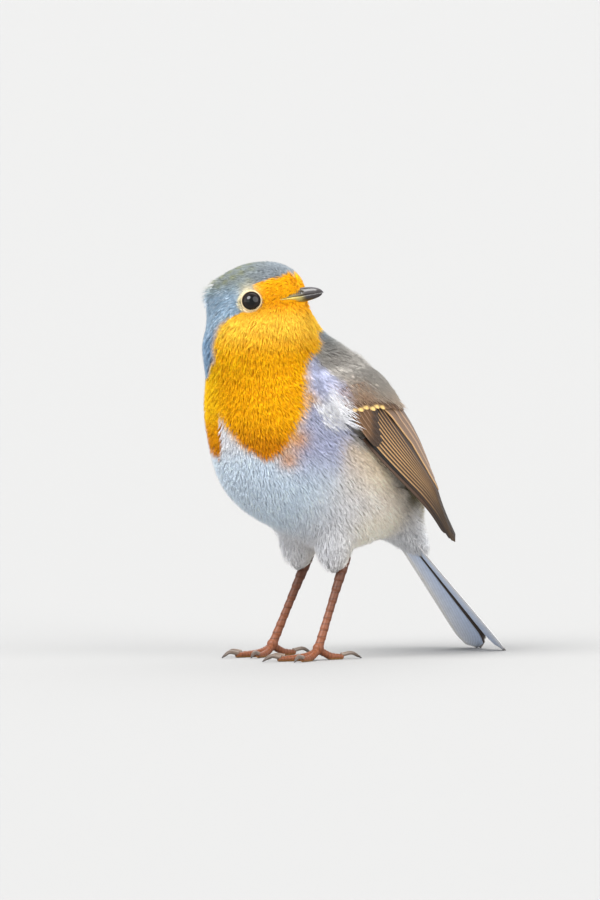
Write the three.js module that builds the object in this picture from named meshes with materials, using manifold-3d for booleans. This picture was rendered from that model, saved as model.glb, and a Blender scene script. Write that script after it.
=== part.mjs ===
// A European robin, life size, standing at rest with its head turned over its left shoulder.
// Millimetres, +Z up. The trunk faces -Y and the bird's left side is +X. The floor is Z = 0.
// The solids are the outer shape of the plumage, parted at the neck, wings, tail and legs.
import * as THREE from "three";
import { mergeVertices } from "three/addons/utils/BufferGeometryUtils.js";
import Module from "manifold-3d";

const wasm = await Module();
wasm.setup();

// ---- driving dimensions -------------------------------------------------
const PARTING_GAP = 0.3; // between pieces that meet
const BLEND = 2.5; // how softly the masses of the body run together

const SPINE = [ // a curve inside the trunk and neck, from the rump to the middle of the head
  [0, 33, 44],
  [0, 8, 64],
  [0, -14.7, 77.5],
  [0, -14.7, 101],
];
const FANS = { rump: 0.16, head: 0.78 }; // shares of the rows where the rays fan out round an end
const SKIN = { rows: 36, columns: 30 };

const HEAD_CENTRE = [0, -14.7, 101];
const HEAD_TURN = 117; // degrees to the bird's left
const BILL_RISE = 12; // degrees above level
const NECK_BASE = { point: [0, -8, 81.5], tilt: 34 }; // the cut between trunk and neck
const HEAD_BASE = { point: [0, -14, 91.5], tilt: 4 }; // the cut between neck and head
const EYE = { forward: 4.4, up: 0.8, radius: 3.0, sunk: 1.45, around: 14, down: 10 };
const BILL = {
  root: 10.6, up: 0.1, upperLength: 11, lowerLength: 10.5, halfWidth: 2.6, upperDepth: 2.1,
  lowerDepth: 1.6, droop: 0.35, tip: 0.06, rows: 10, sides: 12,
};

const TAIL = {
  root: [0, 27, 45], length: 62, fall: 46.8, rootHalf: 4.2, tipHalf: 10.5, roof: 0.2,
  thick: 1.3, fork: 2.5, corner: 4, rows: 12, across: 10,
};

const WING_LOWER = [[20, -5.3, 83.8], [30.3, -2.6, 60.9], [23.3, 25, 50], [21, 39.8, 32.2]];
const WING_UPPER = [[11, 12, 84], [13, 34.7, 65.2], [9, 36.4, 54], [21, 39.8, 32.2]];
const WING = {
  start: 0.22, sink: 4, camber: 2.4, thickFront: 3.6, thickTip: 1.0, tipWidth: 0.8,
  rows: 16, across: 8,
};

const KNEE = [8.5, 4, 44]; // inside the flank feathers
const HEEL = [9.2, 9, 27.6];
const ANKLE = [11.4, -1.6, 3.4]; // where the tarsus meets the toes
const THIGH_RADII = [5, 6, 4.6, 1.9];
const SHANK_RADII = [1.2, 1.55, 1.15, 1.3];
const HUB_RADIUS = 1.65; // of the joint above the toes
const TOE_SINK = 0.14; // the share of a toe's radius that is flattened against the floor
const TOE_TAPER = 0.85; // of the radius at a toe's end to that at its middle
const TOES = [ // splay in degrees from straight ahead
  { name: "inner", splay: 26, toe: 9.6, claw: 4.4, radius: 0.95 },
  { name: "middle", splay: -4, toe: 13.4, claw: 5.2, radius: 1.0 },
  { name: "outer", splay: -30, toe: 10.2, claw: 4.4, radius: 0.95 },
  { name: "hind", splay: 176, toe: 8.2, claw: 6.2, radius: 1.05 },
];
const CLAW_RADII = [0.62, 0.55, 0.4, 0.25];

// ---- small vector and mesh tools ----------------------------------------
const rad = THREE.MathUtils.degToRad;
const vec = (p) => new THREE.Vector3(...p);
const mix = THREE.MathUtils.lerp;
const smooth = THREE.MathUtils.smoothstep;

function bezier(points, t) {
  return new THREE.CubicBezierCurve3(...points.map(vec)).getPoint(t);
}

// A closed body from rings of points that all have the same count: the ends are closed by fans.
function loft(rings) {
  const count = rings[0].length;
  const positions = [];
  const index = [];
  const put = (p) => positions.push(p.x, p.y, p.z) / 3 - 1;
  rings.forEach((ring) => ring.forEach(put));
  for (let i = 0; i + 1 < rings.length; i++) {
    for (let j = 0; j < count; j++) {
      const [near, far, next] = [i * count, (i + 1) * count, (j + 1) % count];
      index.push(near + j, near + next, far + j, near + next, far + next, far + j);
    }
  }
  for (const end of [0, rings.length - 1]) {
    const middle = rings[end].reduce((sum, p) => sum.add(p), new THREE.Vector3());
    const centre = put(middle.divideScalar(count));
    for (let j = 0; j < count; j++) {
      const [a, b] = [end * count + j, end * count + ((j + 1) % count)];
      index.push(...(end === 0 ? [a, centre, b] : [a, b, centre]));
    }
  }
  const shape = new THREE.BufferGeometry();
  shape.setAttribute("position", new THREE.Float32BufferAttribute(positions, 3));
  shape.setIndex(index);
  return shape;
}

// A solid from a closed mesh, turned right side out where its faces pointed inwards.
function solid(geometry) {
  const bare = geometry.clone();
  bare.deleteAttribute("normal");
  bare.deleteAttribute("uv");
  const merged = mergeVertices(bare, 1e-3);
  const vertProperties = merged.attributes.position.array;
  const make = (triVerts) => new wasm.Manifold(new wasm.Mesh({ numProp: 3, vertProperties, triVerts }));
  const faces = Uint32Array.from(merged.index.array);
  const made = make(faces);
  return made.volume() > 0 ? made : make(faces.reverse());
}

function geometryOf(body) {
  const mesh = body.getMesh();
  const points = new Float32Array(mesh.numVert * 3);
  for (let i = 0; i < mesh.numVert; i++) {
    for (let k = 0; k < 3; k++) points[i * 3 + k] = mesh.vertProperties[i * mesh.numProp + k];
  }
  const shape = new THREE.BufferGeometry();
  shape.setAttribute("position", new THREE.BufferAttribute(points, 3));
  shape.setIndex(new THREE.BufferAttribute(Uint32Array.from(mesh.triVerts), 1));
  shape.computeVertexNormals();
  return shape;
}

const mirrored = (body) => body.mirror([1, 0, 0]);
const flatOnFloor = (body) => body.trimByPlane([0, 0, 1], 0);

// ---- head frame: forward along the bill, out to the bird's right, up through the crown ----
const headTurn = new THREE.Matrix4()
  .makeRotationZ(rad(HEAD_TURN))
  .multiply(new THREE.Matrix4().makeRotationX(rad(-BILL_RISE)));
const headFrame = new THREE.Matrix4().makeTranslation(...HEAD_CENTRE).multiply(headTurn);

function onHead(forward, right, up) {
  return new THREE.Vector3(-right, -forward, up).applyMatrix4(headFrame);
}

// ---- the masses of the body: egg shapes that blend into one skin ----
// Each has a centre, half sizes across, along and through, and a turn from level.
const level = new THREE.Matrix4();
const raised = (degrees) => new THREE.Matrix4().makeRotationX(rad(-degrees));
const onSkull = (...place) => onHead(...place).toArray();
const MASSES = [
  { at: [0, 6, 60.5], half: [23.5, 32, 24.5], turn: raised(50) }, // trunk
  { at: [0, -9.5, 72.5], half: [20.5, 18.6, 20], turn: level }, // breast
  { at: [0, -8, 57.5], half: [18, 18, 17], turn: raised(45) }, // belly
  { at: [0, 7, 76.5], half: [18, 17, 12], turn: raised(52) }, // mantle
  { at: [0, 26, 48.5], half: [12.5, 16, 10], turn: raised(38) }, // rump and vent
  { at: [0, 34, 37.6], half: [6.5, 13, 4], turn: raised(44) }, // tail coverts
  { at: [0, -13.6, 89], half: [16, 16.4, 15], turn: level }, // neck
  { at: HEAD_CENTRE, half: [10.2, 13, 11.4], turn: headTurn }, // skull
  { at: onSkull(6, 0, 1.6), half: [7.5, 7.8, 7.6], turn: headTurn }, // forehead
  { at: onSkull(-5.5, 0, 0.4), half: [8.5, 7.8, 8.2], turn: headTurn }, // nape
  { at: onSkull(3.6, 0, -10), half: [9, 9, 9], turn: headTurn }, // throat
  { at: onSkull(1, 6.5, -5), half: [6, 8, 6.5], turn: headTurn }, // right cheek
  { at: onSkull(1, -6.5, -5), half: [6, 8, 6.5], turn: headTurn }, // left cheek
].map(({ at, half, turn }) => ({
  half: vec(half),
  inverse: new THREE.Matrix4().makeTranslation(...at).multiply(turn).invert(),
}));

// About how far a point lies outside the blended skin, in millimetres, negative inside.
function outside(point) {
  const gaps = MASSES.map(({ half, inverse }) => {
    const local = point.clone().applyMatrix4(inverse).divide(half);
    const reach = local.length();
    return (reach * (reach - 1)) / Math.max(local.divide(half).length(), 1e-9);
  });
  const least = Math.min(...gaps);
  const sum = gaps.reduce((total, gap) => total + Math.exp((least - gap) / BLEND), 0);
  return least - BLEND * Math.log(sum);
}

// The distance along a ray, from a point inside the skin, at which it meets the skin.
function reachOfSkin(centre, ray) {
  const steps = 60;
  const stride = 0.8;
  let reach = 2;
  for (let step = 0; step < steps; step++) {
    reach -= stride * outside(centre.clone().addScaledVector(ray, reach));
  }
  return reach;
}

// Rays leave the spine square to it, and fan out round its two ends; each stops at the skin.
function bodySolid(grow) {
  const spine = new THREE.CubicBezierCurve3(...SPINE.map(vec));
  const rings = [];
  for (let i = 0; i <= SKIN.rows; i++) {
    const u = i / SKIN.rows;
    const t = THREE.MathUtils.clamp((u - FANS.rump) / (FANS.head - FANS.rump), 0, 1);
    const pastHead = Math.max(0, (u - FANS.head) / (1 - FANS.head));
    const fan = ((u < FANS.rump ? u / FANS.rump - 1 : pastHead) * Math.PI) / 2;
    const along = spine.getTangent(t);
    const back = new THREE.Vector3(0, along.z, -along.y);
    const centre = spine.getPoint(t);
    const ring = [];
    for (let j = 0; j < SKIN.columns; j++) {
      const angle = (j / SKIN.columns) * 2 * Math.PI;
      const ray = back.clone().multiplyScalar(Math.cos(angle)).setX(Math.sin(angle));
      ray.multiplyScalar(Math.cos(fan)).addScaledVector(along, Math.sin(fan));
      ring.push(centre.clone().addScaledVector(ray, reachOfSkin(centre, ray) + grow));
    }
    rings.push(ring);
  }
  return solid(loft(rings));
}

const wholeBody = bodySolid(0);
const grownBody = bodySolid(PARTING_GAP);

// The side of the body above a cut, or below it, kept half a gap clear of the cut.
function cutAt(body, { point, tilt }, above) {
  const normal = new THREE.Vector3(0, -Math.sin(rad(tilt)), Math.cos(rad(tilt)));
  const offset = normal.dot(vec(point));
  const facing = above ? 1 : -1;
  const keep = normal.multiplyScalar(facing).toArray();
  return body.trimByPlane(keep, facing * offset + PARTING_GAP / 2);
}

// ---- eyes: balls sunk a little below the skin ----
function eyeBall(side, grow) {
  const inside = onHead(EYE.forward, 0, EYE.up);
  const outward = onHead(EYE.forward, side, EYE.up).sub(inside);
  const centre = inside.clone().addScaledVector(outward, reachOfSkin(inside, outward) - EYE.sunk);
  const ball = new THREE.SphereGeometry(EYE.radius + grow, EYE.around, EYE.down);
  ball.translate(...centre.toArray());
  return solid(ball);
}

// ---- bill: an upper and a lower half, each a half round that tapers to the tip ----
function billHalf(upper) {
  const facing = upper ? 1 : -1;
  const depth = upper ? BILL.upperDepth : BILL.lowerDepth;
  const length = upper ? BILL.upperLength : BILL.lowerLength;
  const rings = [];
  for (let i = 0; i <= BILL.rows; i++) {
    const s = i / BILL.rows;
    const taper = Math.sqrt(Math.max(1 - s ** 5, BILL.tip ** 2));
    const wide = BILL.halfWidth * mix(0.14, 1, 1 - s ** 1.3) * taper;
    const deep = depth * mix(0.2, 1, 1 - s ** 2.2) * taper;
    const droop = BILL.droop * ((length * s) / BILL.upperLength) ** 3;
    const seam = BILL.up - droop + facing * (PARTING_GAP / 2);
    const ring = [];
    for (let j = 0; j < BILL.sides; j++) {
      const a = (j / BILL.sides) * 2 * Math.PI;
      const lift = facing * Math.max(facing * Math.sin(a), 0);
      ring.push(onHead(BILL.root + length * s, wide * Math.cos(a), seam + deep * lift));
    }
    rings.push(ring);
  }
  return solid(loft(rings));
}

// One ring round a blade, over its outer face and back under its inner face.
// The point on a face is given by the way across, from 0 to 1, and 1 for outer or -1 for inner.
function bladeRing(across, point) {
  const ways = Array.from({ length: across + 1 }, (_, j) => j / across);
  return [...ways.map((w) => point(w, 1)), ...ways.reverse().map((w) => point(w, -1))];
}

// ---- tail: a shallow roof of overlapping feathers, closed, its tip on the floor ----
function tailSolid() {
  const fall = rad(TAIL.fall);
  const along = new THREE.Vector3(0, Math.cos(fall), -Math.sin(fall));
  const up = new THREE.Vector3(0, Math.sin(fall), Math.cos(fall));
  const rings = [];
  for (let i = 0; i <= TAIL.rows; i++) {
    const s = i / TAIL.rows;
    const half = mix(TAIL.rootHalf, TAIL.tipHalf, mix(s, smooth(s, 0, 1), 0.35));
    rings.push(bladeRing(TAIL.across, (way, side) => {
      const w = 2 * way - 1;
      const short = TAIL.fork * (1 - Math.abs(w)) + TAIL.corner * Math.abs(w) ** 5;
      const thick = (TAIL.thick / 2) * Math.sqrt(1 - 0.75 * w ** 4);
      const point = vec(TAIL.root).setX(w * half);
      point.addScaledVector(along, s * (TAIL.length - short));
      return point.addScaledVector(up, side * thick - TAIL.roof * half * Math.abs(w) ** 1.4);
    }));
  }
  return solid(loft(rings));
}

// ---- wing: a cambered blade between its lower and its upper edge, folded on the back ----
function wingSolid() {
  const lastSquare = 0.93; // past this the blade keeps the same way across
  const edgeShare = 0.12; // how much of the thickness is left at an edge, squared
  const rings = [];
  for (let i = 0; i <= WING.rows; i++) {
    const s = mix(WING.start, 1, i / WING.rows);
    const square = Math.min(s, lastSquare);
    const low = bezier(WING_LOWER, s);
    const high = bezier(WING_UPPER, s);
    const over = bezier(WING_UPPER, square).sub(bezier(WING_LOWER, square));
    const ahead = bezier(WING_LOWER, square + 0.02).sub(bezier(WING_LOWER, square - 0.02));
    const out = new THREE.Vector3().crossVectors(ahead, over).normalize();
    if (out.x < 0) out.negate();
    const sink = WING.sink * (1 - smooth(s, WING.start, WING.start + 0.2));
    const thick = mix(WING.thickFront, WING.thickTip, s) / 2;
    const camber = WING.camber * Math.min(1, low.distanceTo(high) / 16);
    rings.push(bladeRing(WING.across, (way, side) => {
      const bulge = camber * 4 * way * (1 - way);
      const edge = Math.sqrt(Math.max(1 - (2 * way - 1) ** 4, edgeShare));
      const tip = over.clone().setLength(WING.tipWidth * (way - 0.5));
      const point = low.clone().lerp(high, way).add(tip);
      return point.addScaledVector(out, bulge - sink + side * thick * edge);
    }));
  }
  return solid(loft(rings));
}

// ---- legs ----
// A tube of round sections along a curve, with radii given at even steps along it.
function tube(path, radii, sides, grow) {
  const curve = new THREE.CatmullRomCurve3(path.map(vec));
  const steps = (path.length - 1) * 2;
  const rings = [];
  for (let i = 0; i <= steps; i++) {
    const t = i / steps;
    const centre = curve.getPoint(t);
    const ahead = curve.getTangent(t);
    const side = new THREE.Vector3(0, 0, 1).cross(ahead);
    if (side.length() < 0.2) side.set(1, 0, 0);
    side.normalize();
    const up = ahead.clone().cross(side).normalize();
    const place = t * (radii.length - 1);
    const k = Math.min(Math.floor(place), radii.length - 2);
    const radius = mix(radii[k], radii[k + 1], place - k) + grow;
    const ring = [];
    for (let j = 0; j < sides; j++) {
      const a = (j / sides) * 2 * Math.PI;
      const point = centre.clone().addScaledVector(side, radius * Math.cos(a));
      ring.push(point.addScaledVector(up, radius * Math.sin(a)));
    }
    rings.push(ring);
  }
  return solid(loft(rings));
}

function thigh(grow) {
  const calf = [HEEL[0] - 0.2, HEEL[1] - 3, HEEL[2] + 9.5];
  const shin = [HEEL[0], HEEL[1] - 1.8, HEEL[2] + 4];
  const cuff = [HEEL[0], HEEL[1] - 0.6, HEEL[2] - 1.4];
  return tube([KNEE, calf, shin, cuff], THIGH_RADII, 14, grow);
}

function shank(grow) {
  const above = [HEEL[0], HEEL[1] + 0.4, HEEL[2] + 1.4];
  const middle = vec(HEEL).lerp(vec(ANKLE), 0.5).toArray();
  return tube([above, HEEL, middle, ANKLE], SHANK_RADII, 10, grow);
}

// A point of the foot: so far from the ankle in the toe's direction, and so high.
function onToe({ splay }, reach, height) {
  const turn = rad(splay);
  return [ANKLE[0] + Math.sin(turn) * reach, ANKLE[1] - Math.cos(turn) * reach, height];
}

function toeAlone(spec, grow) {
  const low = spec.radius * (1 - TOE_SINK);
  const path = [
    [ANKLE[0], ANKLE[1], ANKLE[2] - 0.4],
    onToe(spec, 2.6, low + 0.75),
    onToe(spec, spec.toe * 0.55, low),
    onToe(spec, spec.toe, low * TOE_TAPER),
  ];
  return tube(path, [1, 1, 1, TOE_TAPER].map((share) => share * spec.radius), 8, grow);
}

function foot(grow) {
  const hub = new THREE.SphereGeometry(HUB_RADIUS + grow, 10, 6);
  hub.translate(...ANKLE);
  return TOES.reduce((whole, spec) => whole.add(toeAlone(spec, grow)), solid(hub));
}

function claw(spec) {
  const low = spec.radius * (1 - TOE_SINK);
  const path = [
    onToe(spec, spec.toe - 0.6, low + 0.4),
    onToe(spec, spec.toe + spec.claw * 0.45, low + 0.85),
    onToe(spec, spec.toe + spec.claw * 0.8, 0.85),
    onToe(spec, spec.toe + spec.claw, 0.2),
  ];
  return tube(path, CLAW_RADII, 6, 0);
}

// ---- the pieces, each cut clear of those that it meets ----
const FINISH = {
  slate: { color: 0x6f7a7c, roughness: 0.85 },
  orange: { color: 0xe08310, roughness: 0.85 },
  brown: { color: 0x5e4630, roughness: 0.7 },
  greyBrown: { color: 0x7d756c, roughness: 0.75 },
  buff: { color: 0xc4b59c, roughness: 0.85 },
  leg: { color: 0x7a4a30, roughness: 0.5 },
  horn: { color: 0x2b2724, roughness: 0.3 },
  eye: { color: 0x0a0806, roughness: 0.05 },
};
const pieces = new THREE.Group();

function place(name, body, finish) {
  const material = new THREE.MeshStandardMaterial({ metalness: 0, ...FINISH[finish] });
  const mesh = new THREE.Mesh(geometryOf(body), material);
  mesh.name = name;
  pieces.add(mesh);
}

const sockets = eyeBall(1, PARTING_GAP).add(eyeBall(-1, PARTING_GAP));
place("head", cutAt(wholeBody, HEAD_BASE, true).subtract(sockets), "slate");
place("neck", cutAt(cutAt(wholeBody, HEAD_BASE, false), NECK_BASE, true), "orange");
place("trunk", cutAt(wholeBody, NECK_BASE, false), "orange");
place("eye_right", eyeBall(1, 0), "eye");
place("eye_left", eyeBall(-1, 0), "eye");
place("bill_upper", billHalf(true).subtract(grownBody), "horn");
place("bill_lower", billHalf(false).subtract(grownBody), "horn");
place("tail", flatOnFloor(tailSolid().subtract(grownBody)), "greyBrown");

const leftWing = wingSolid().subtract(grownBody);
const leftThigh = thigh(0).subtract(grownBody);
const leftShank = shank(0).subtract(thigh(PARTING_GAP)).subtract(grownBody);
const leftFoot = flatOnFloor(foot(0).subtract(shank(PARTING_GAP)));
const grownFoot = foot(PARTING_GAP);
for (const [side, turned] of [["left", (body) => body], ["right", mirrored]]) {
  place(`wing_${side}`, turned(leftWing), "brown");
  place(`thigh_${side}`, turned(leftThigh), "buff");
  place(`shank_${side}`, turned(leftShank), "leg");
  place(`foot_${side}`, turned(leftFoot), "leg");
  for (const spec of TOES) {
    const leftClaw = flatOnFloor(claw(spec).subtract(grownFoot));
    place(`claw_${spec.name}_${side}`, turned(leftClaw), "horn");
  }
}

// The origin is the middle of the bounding box's floor.
const { min, max } = new THREE.Box3().setFromObject(pieces);
pieces.position.set(-(min.x + max.x) / 2, -(min.y + max.y) / 2, -min.z);

export default pieces;
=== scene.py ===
"""A European robin, life size, as a museum model: one skin with its coat of feathers, wings, tail,
bill, eyes, legs and claws.

Shapes are worked out in the model maker's millimetres (trunk facing -Y, the bird's left side +X,
floor at z = 0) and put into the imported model's frame, in metres, as each mesh is made.
"""

import math

import bpy
import numpy as np
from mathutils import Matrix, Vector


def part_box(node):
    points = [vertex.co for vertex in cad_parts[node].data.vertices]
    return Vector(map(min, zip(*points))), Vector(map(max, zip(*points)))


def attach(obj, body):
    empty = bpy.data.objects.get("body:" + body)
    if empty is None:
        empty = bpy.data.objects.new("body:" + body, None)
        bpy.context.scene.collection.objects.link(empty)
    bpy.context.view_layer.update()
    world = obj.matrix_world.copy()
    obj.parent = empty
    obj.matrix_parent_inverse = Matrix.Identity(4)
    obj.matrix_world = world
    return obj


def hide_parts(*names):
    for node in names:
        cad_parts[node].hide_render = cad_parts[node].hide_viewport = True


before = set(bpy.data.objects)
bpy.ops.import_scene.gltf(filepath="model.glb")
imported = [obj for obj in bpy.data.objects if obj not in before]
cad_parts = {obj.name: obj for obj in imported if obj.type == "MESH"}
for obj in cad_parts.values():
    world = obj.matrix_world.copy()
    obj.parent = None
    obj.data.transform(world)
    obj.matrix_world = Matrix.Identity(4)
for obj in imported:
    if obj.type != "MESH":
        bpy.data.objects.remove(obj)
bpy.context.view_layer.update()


# ---- the body's form -------------------------------------------------------
# A perching bird's plumage rounds off its bones and muscles into one smooth form.
# Egg-shaped masses run together softly and give that form out to the feathers' tips.
BLEND = 2.5  # how softly the masses run together
HEAD_CENTRE = np.array([0, -14.7, 101.0])


def turn_x(degrees):
    """A turn about the x axis, as a matrix."""
    c, s = math.cos(math.radians(degrees)), math.sin(math.radians(degrees))
    return np.array([[1, 0, 0], [0, c, -s], [0, s, c]])


def turn_z(degrees):
    """A turn about the upright axis, as a matrix."""
    c, s = math.cos(math.radians(degrees)), math.sin(math.radians(degrees))
    return np.array([[c, -s, 0], [s, c, 0], [0, 0, 1]])


HEAD_TURN = turn_z(117) @ turn_x(-12)  # over the left shoulder, bill a little above level
LEVEL = np.eye(3)


def on_head(forward, right, up):
    """Points given forward along the bill, out to the bird's right and up through the crown."""
    local = np.stack(np.broadcast_arrays(-np.asarray(right, float), -np.asarray(forward, float), up), -1)
    return HEAD_CENTRE + local @ HEAD_TURN.T


MASSES = [  # centre, half sizes across, along and through, turn from level
    ((0, 6, 60.5), (23.5, 32, 24.5), turn_x(-50)),  # trunk
    ((0, -9.5, 72.5), (20.5, 18.6, 20), LEVEL),  # breast
    ((0, -8, 57.5), (18, 18, 17), turn_x(-45)),  # belly
    ((0, 7, 76.5), (18, 17, 12), turn_x(-52)),  # mantle
    ((0, 26, 48.5), (12.5, 16, 10), turn_x(-38)),  # rump and vent
    ((0, 34, 37.6), (6.5, 13, 4), turn_x(-44)),  # tail coverts
    ((0, -13.6, 89), (16, 16.4, 15), LEVEL),  # neck
    (HEAD_CENTRE, (10.2, 13, 11.4), HEAD_TURN),  # skull
    (on_head(6, 0, 1.6), (7.5, 7.8, 7.6), HEAD_TURN),  # forehead
    (on_head(-5.5, 0, 0.4), (8.5, 7.8, 8.2), HEAD_TURN),  # nape
    (on_head(3.6, 0, -10), (9, 9, 9), HEAD_TURN),  # throat
    (on_head(1, 6.5, -5), (6, 8, 6.5), HEAD_TURN),  # right cheek
    (on_head(1, -6.5, -5), (6, 8, 6.5), HEAD_TURN),  # left cheek
]
THIGHS = [  # the feathered thighs, which the coat follows as well
    ((side * 8.9, 6.0, 35.5), (4.9, 5.2, 10.6), turn_x(-9)) for side in (1, -1)
]
HOLLOWS = [  # place, size and depth: beside the bill, behind the cheeks, under the turned throat
    (on_head(13, 8, -0.5), 4.8, 2.3),
    (on_head(13, -8, -0.5), 4.8, 2.3),
    (on_head(-13.5, 8, -1), 5.0, 1.5),
    (on_head(-13.5, -8, -1), 5.0, 1.5),
    (np.array([15, -1, 94.5]), 4.5, 1.3),
]


def near(points, place, size):
    """1 at a place and fading away over a size: exp(-(distance / size)^2)."""
    return np.exp(-(np.linalg.norm(points - np.asarray(place), axis=-1) / size) ** 2)


def unit(vectors):
    """Vectors at length 1."""
    return vectors / np.maximum(np.linalg.norm(vectors, axis=-1, keepdims=True), 1e-9)


def plumage_gap(points, masses=MASSES + THIGHS):
    """How far points lie outside the plumage, negative inside, and the way straight out of it.
    For one mass with q the point over its half sizes it is |q|(|q| - 1) / |q / half|. The masses'
    gaps g join as least - BLEND ln(sum of exp((least - g) / BLEND)), and the hollows add to it."""
    gaps, ways = [], []
    for centre, half, turn in masses:
        local = (points - np.asarray(centre)) @ turn / np.asarray(half)
        reach = np.linalg.norm(local, axis=-1)
        steep = local / np.asarray(half)
        slope = np.maximum(np.linalg.norm(steep, axis=-1), 1e-9)
        gaps.append(reach * (reach - 1) / slope)
        ways.append(steep @ turn.T / slope[..., None])
    least = np.min(gaps, axis=0)
    share = np.exp((least - np.array(gaps)) / BLEND)
    way = sum(s[..., None] * w for s, w in zip(share, ways))
    hollow = sum(depth * near(points, place, size) for place, size, depth in HOLLOWS)
    return least - BLEND * np.log(share.sum(0)) + hollow, unit(way)


# ---- camera ----------------------------------------------------------------
# The bird is seen from its front left, from a little above the floor, with a long lens.
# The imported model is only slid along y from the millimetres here.
MM = 0.001
SHIFT = np.array([0, -18.976, 0])
AZIMUTH, ELEVATION = math.radians(55), math.radians(3)
AIM, VIEW_HEIGHT = (0, 0, 59.51), 257.14
LENS, SENSOR = 600, 36
towards = np.array([
    math.sin(AZIMUTH) * math.cos(ELEVATION), -math.cos(AZIMUTH) * math.cos(ELEVATION), math.sin(ELEVATION),
])
camera_data = bpy.data.cameras.new("camera")
camera_data.lens, camera_data.sensor_width = LENS, SENSOR
camera_data.clip_start, camera_data.clip_end = 0.1, 50
camera = bpy.data.objects.new("camera", camera_data)
bpy.context.scene.collection.objects.link(camera)
camera.location = (np.array(AIM) + SHIFT + towards * (VIEW_HEIGHT * LENS / SENSOR)) * MM
camera.rotation_euler = (math.pi / 2 - ELEVATION, 0, AZIMUTH)
bpy.context.scene.camera = camera
bpy.context.scene.view_settings.view_transform = "Standard"


# ---- plumage colours -------------------------------------------------------
# One set of markings colours the skin and every feather that grows from it: an orange face and
# bib, a grey crown and nape, lavender sides, a grey-brown mantle, buff flanks and a white belly.
# A bluish sky-lit shade is painted low round the head, down the neck's right side and on the
# belly's lower front.
def frame_middle(node):
    """The middle of a node's box, in these millimetres."""
    low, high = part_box(node)
    return (np.array(low) + np.array(high)) / 2 / MM - SHIFT


def in_head(points):
    """How far points lie forward, right and up from the middle of the head."""
    local = (points - HEAD_CENTRE) @ HEAD_TURN
    return -local[..., 1], -local[..., 0], local[..., 2]


def smooth(low, high, value):
    """0 below low, 1 above high, and 3t^2 - 2t^3 between. It falls instead where high is less."""
    t = np.clip((value - low) / (high - low), 0, 1)
    return t * t * (3 - 2 * t)


def tint(red, green, blue):
    """A colour given as 0 to 255 for display, as linear light."""
    return (np.array([red, green, blue]) / 255) ** 2.2


def named_tints(**colours):
    """Colours by name, each as linear light."""
    return {name: tint(*colour) for name, colour in colours.items()}


def mix(first, second, share):
    """first where share is 0, second where it is 1."""
    return first + (second - first) * np.asarray(share)[..., None]


def mix_over(colour, tints, *layers):
    """A colour with named tints laid over it in turn, each by its share."""
    for name, share in layers:
        colour = mix(colour, tints[name], share)
    return colour


def bezier(points, t):
    """A cubic Bezier curve at t."""
    a, b, c, d = (np.asarray(p, float) for p in points)
    t = np.asarray(t, float)[..., None]
    return (1 - t) ** 3 * a + 3 * (1 - t) ** 2 * t * b + 3 * (1 - t) * t**2 * c + t**3 * d


def to_left(points):
    """Points of either side as they lie on the bird's left side."""
    return np.concatenate([np.abs(points[..., :1]), points[..., 1:]], -1)


def round_head(forward, right):
    """Degrees round the head from the bill's way, the same on both sides."""
    return np.degrees(np.arctan2(np.abs(right), forward))


EYES = {"right": frame_middle("eye_right"), "left": frame_middle("eye_left")}
WING_LOWER = ((20, -5.3, 83.8), (30.3, -2.6, 60.9), (23.3, 25, 50), (21, 39.8, 32.2))
WING_UPPER = ((11, 12, 84), (13, 34.7, 65.2), (9, 36.4, 54), (21, 39.8, 32.2))
# The front tint is partly painted shade: the belly's white with the bluish cast of sky-lit shade, on its
# lower front, which faces down.
BODY_TINTS = named_tints(
    belly=(240, 240, 243), front=(222, 236, 250), side=(190, 194, 220), fluff=(244, 244, 248),
    mantle=(172, 167, 160), scapular=(188, 168, 148), flank=(254, 230, 192), vent=(255, 246, 230),
    undertail=(226, 227, 230), rump=(152, 142, 118), olive=(112, 98, 58),
)
BIB_TINTS = named_tints(
    face=(255, 176, 22), chin=(255, 200, 66), breast=(255, 182, 6), low=(214, 132, 3),
    side=(255, 208, 30), lore=(232, 150, 14), rim=(236, 196, 158),
)
# The nape tint is painted shade: the bluish cast of sky-lit shade, laid low round the head in place of its
# olive-grey. The tint named shade is no shade but that olive-grey, kept on the back of the neck.
HEAD_TINTS = named_tints(
    crown=(136, 144, 141), forehead=(128, 136, 142), olive=(134, 138, 110), ear=(142, 168, 190),
    nape=(120, 152, 184), shade=(136, 138, 136), eye_ring=(250, 236, 200),
)
# Edges as two rows each: a place, then where the marking ends there. On the body, heights are in
# millimetres and ways round it in degrees from the front, the left side positive.
BIB_LEFT = (
    (58, 61.5, 66, 72, 75.3, 77.5, 82.3, 85.8, 88.1, 89.4, 91.3, 93.6),
    (37, 49, 57, 66, 71.7, 75.5, 89.9, 97.6, 110, 119.6, 132.7, 131),
)
BIB_RIGHT = (
    (58, 61.5, 66, 73.7, 80.5, 82, 84.7, 86.7, 90.9, 93.1),
    (-43, -52, -57, -55, -40, -18.2, -9, 1.7, 3.5, 7.8),
)
BIB_FOOT = (
    (-60, -57, -49, -36, -22, -8, -5.5, -2.5, -1.5, -0.4, 2.8, 7.4, 13, 20, 30, 36, 43, 49, 57, 62),
    (70, 66, 62, 59.5, 60, 58.5, 59.5, 63, 67.5, 71.3, 69.8, 67, 65, 62, 59.5, 58, 60, 61.5, 66, 70),
)
FACE_SIDE = (
    (-15.5, -8.8, -5.4, -3.3, -2.1, -1.8, -1.2, 3, 5.6, 6.4, 6.8, 7.2),
    (161, 124, 112.2, 105.4, 96, 84, 78, 64, 58.5, 41.5, 23.3, 0),
)
FACE_TOP = 6.7  # how high over the head's middle the orange ends
MANTLE_EDGE = ((60, 70, 74.7, 79, 83, 88), (104, 104, 104, 110, 113, 113))
BODY_AXIS = ((62, 73.7, 81.7, 88), (-3, -5, -11, -13.6))  # height and y of the axis to turn round
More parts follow.
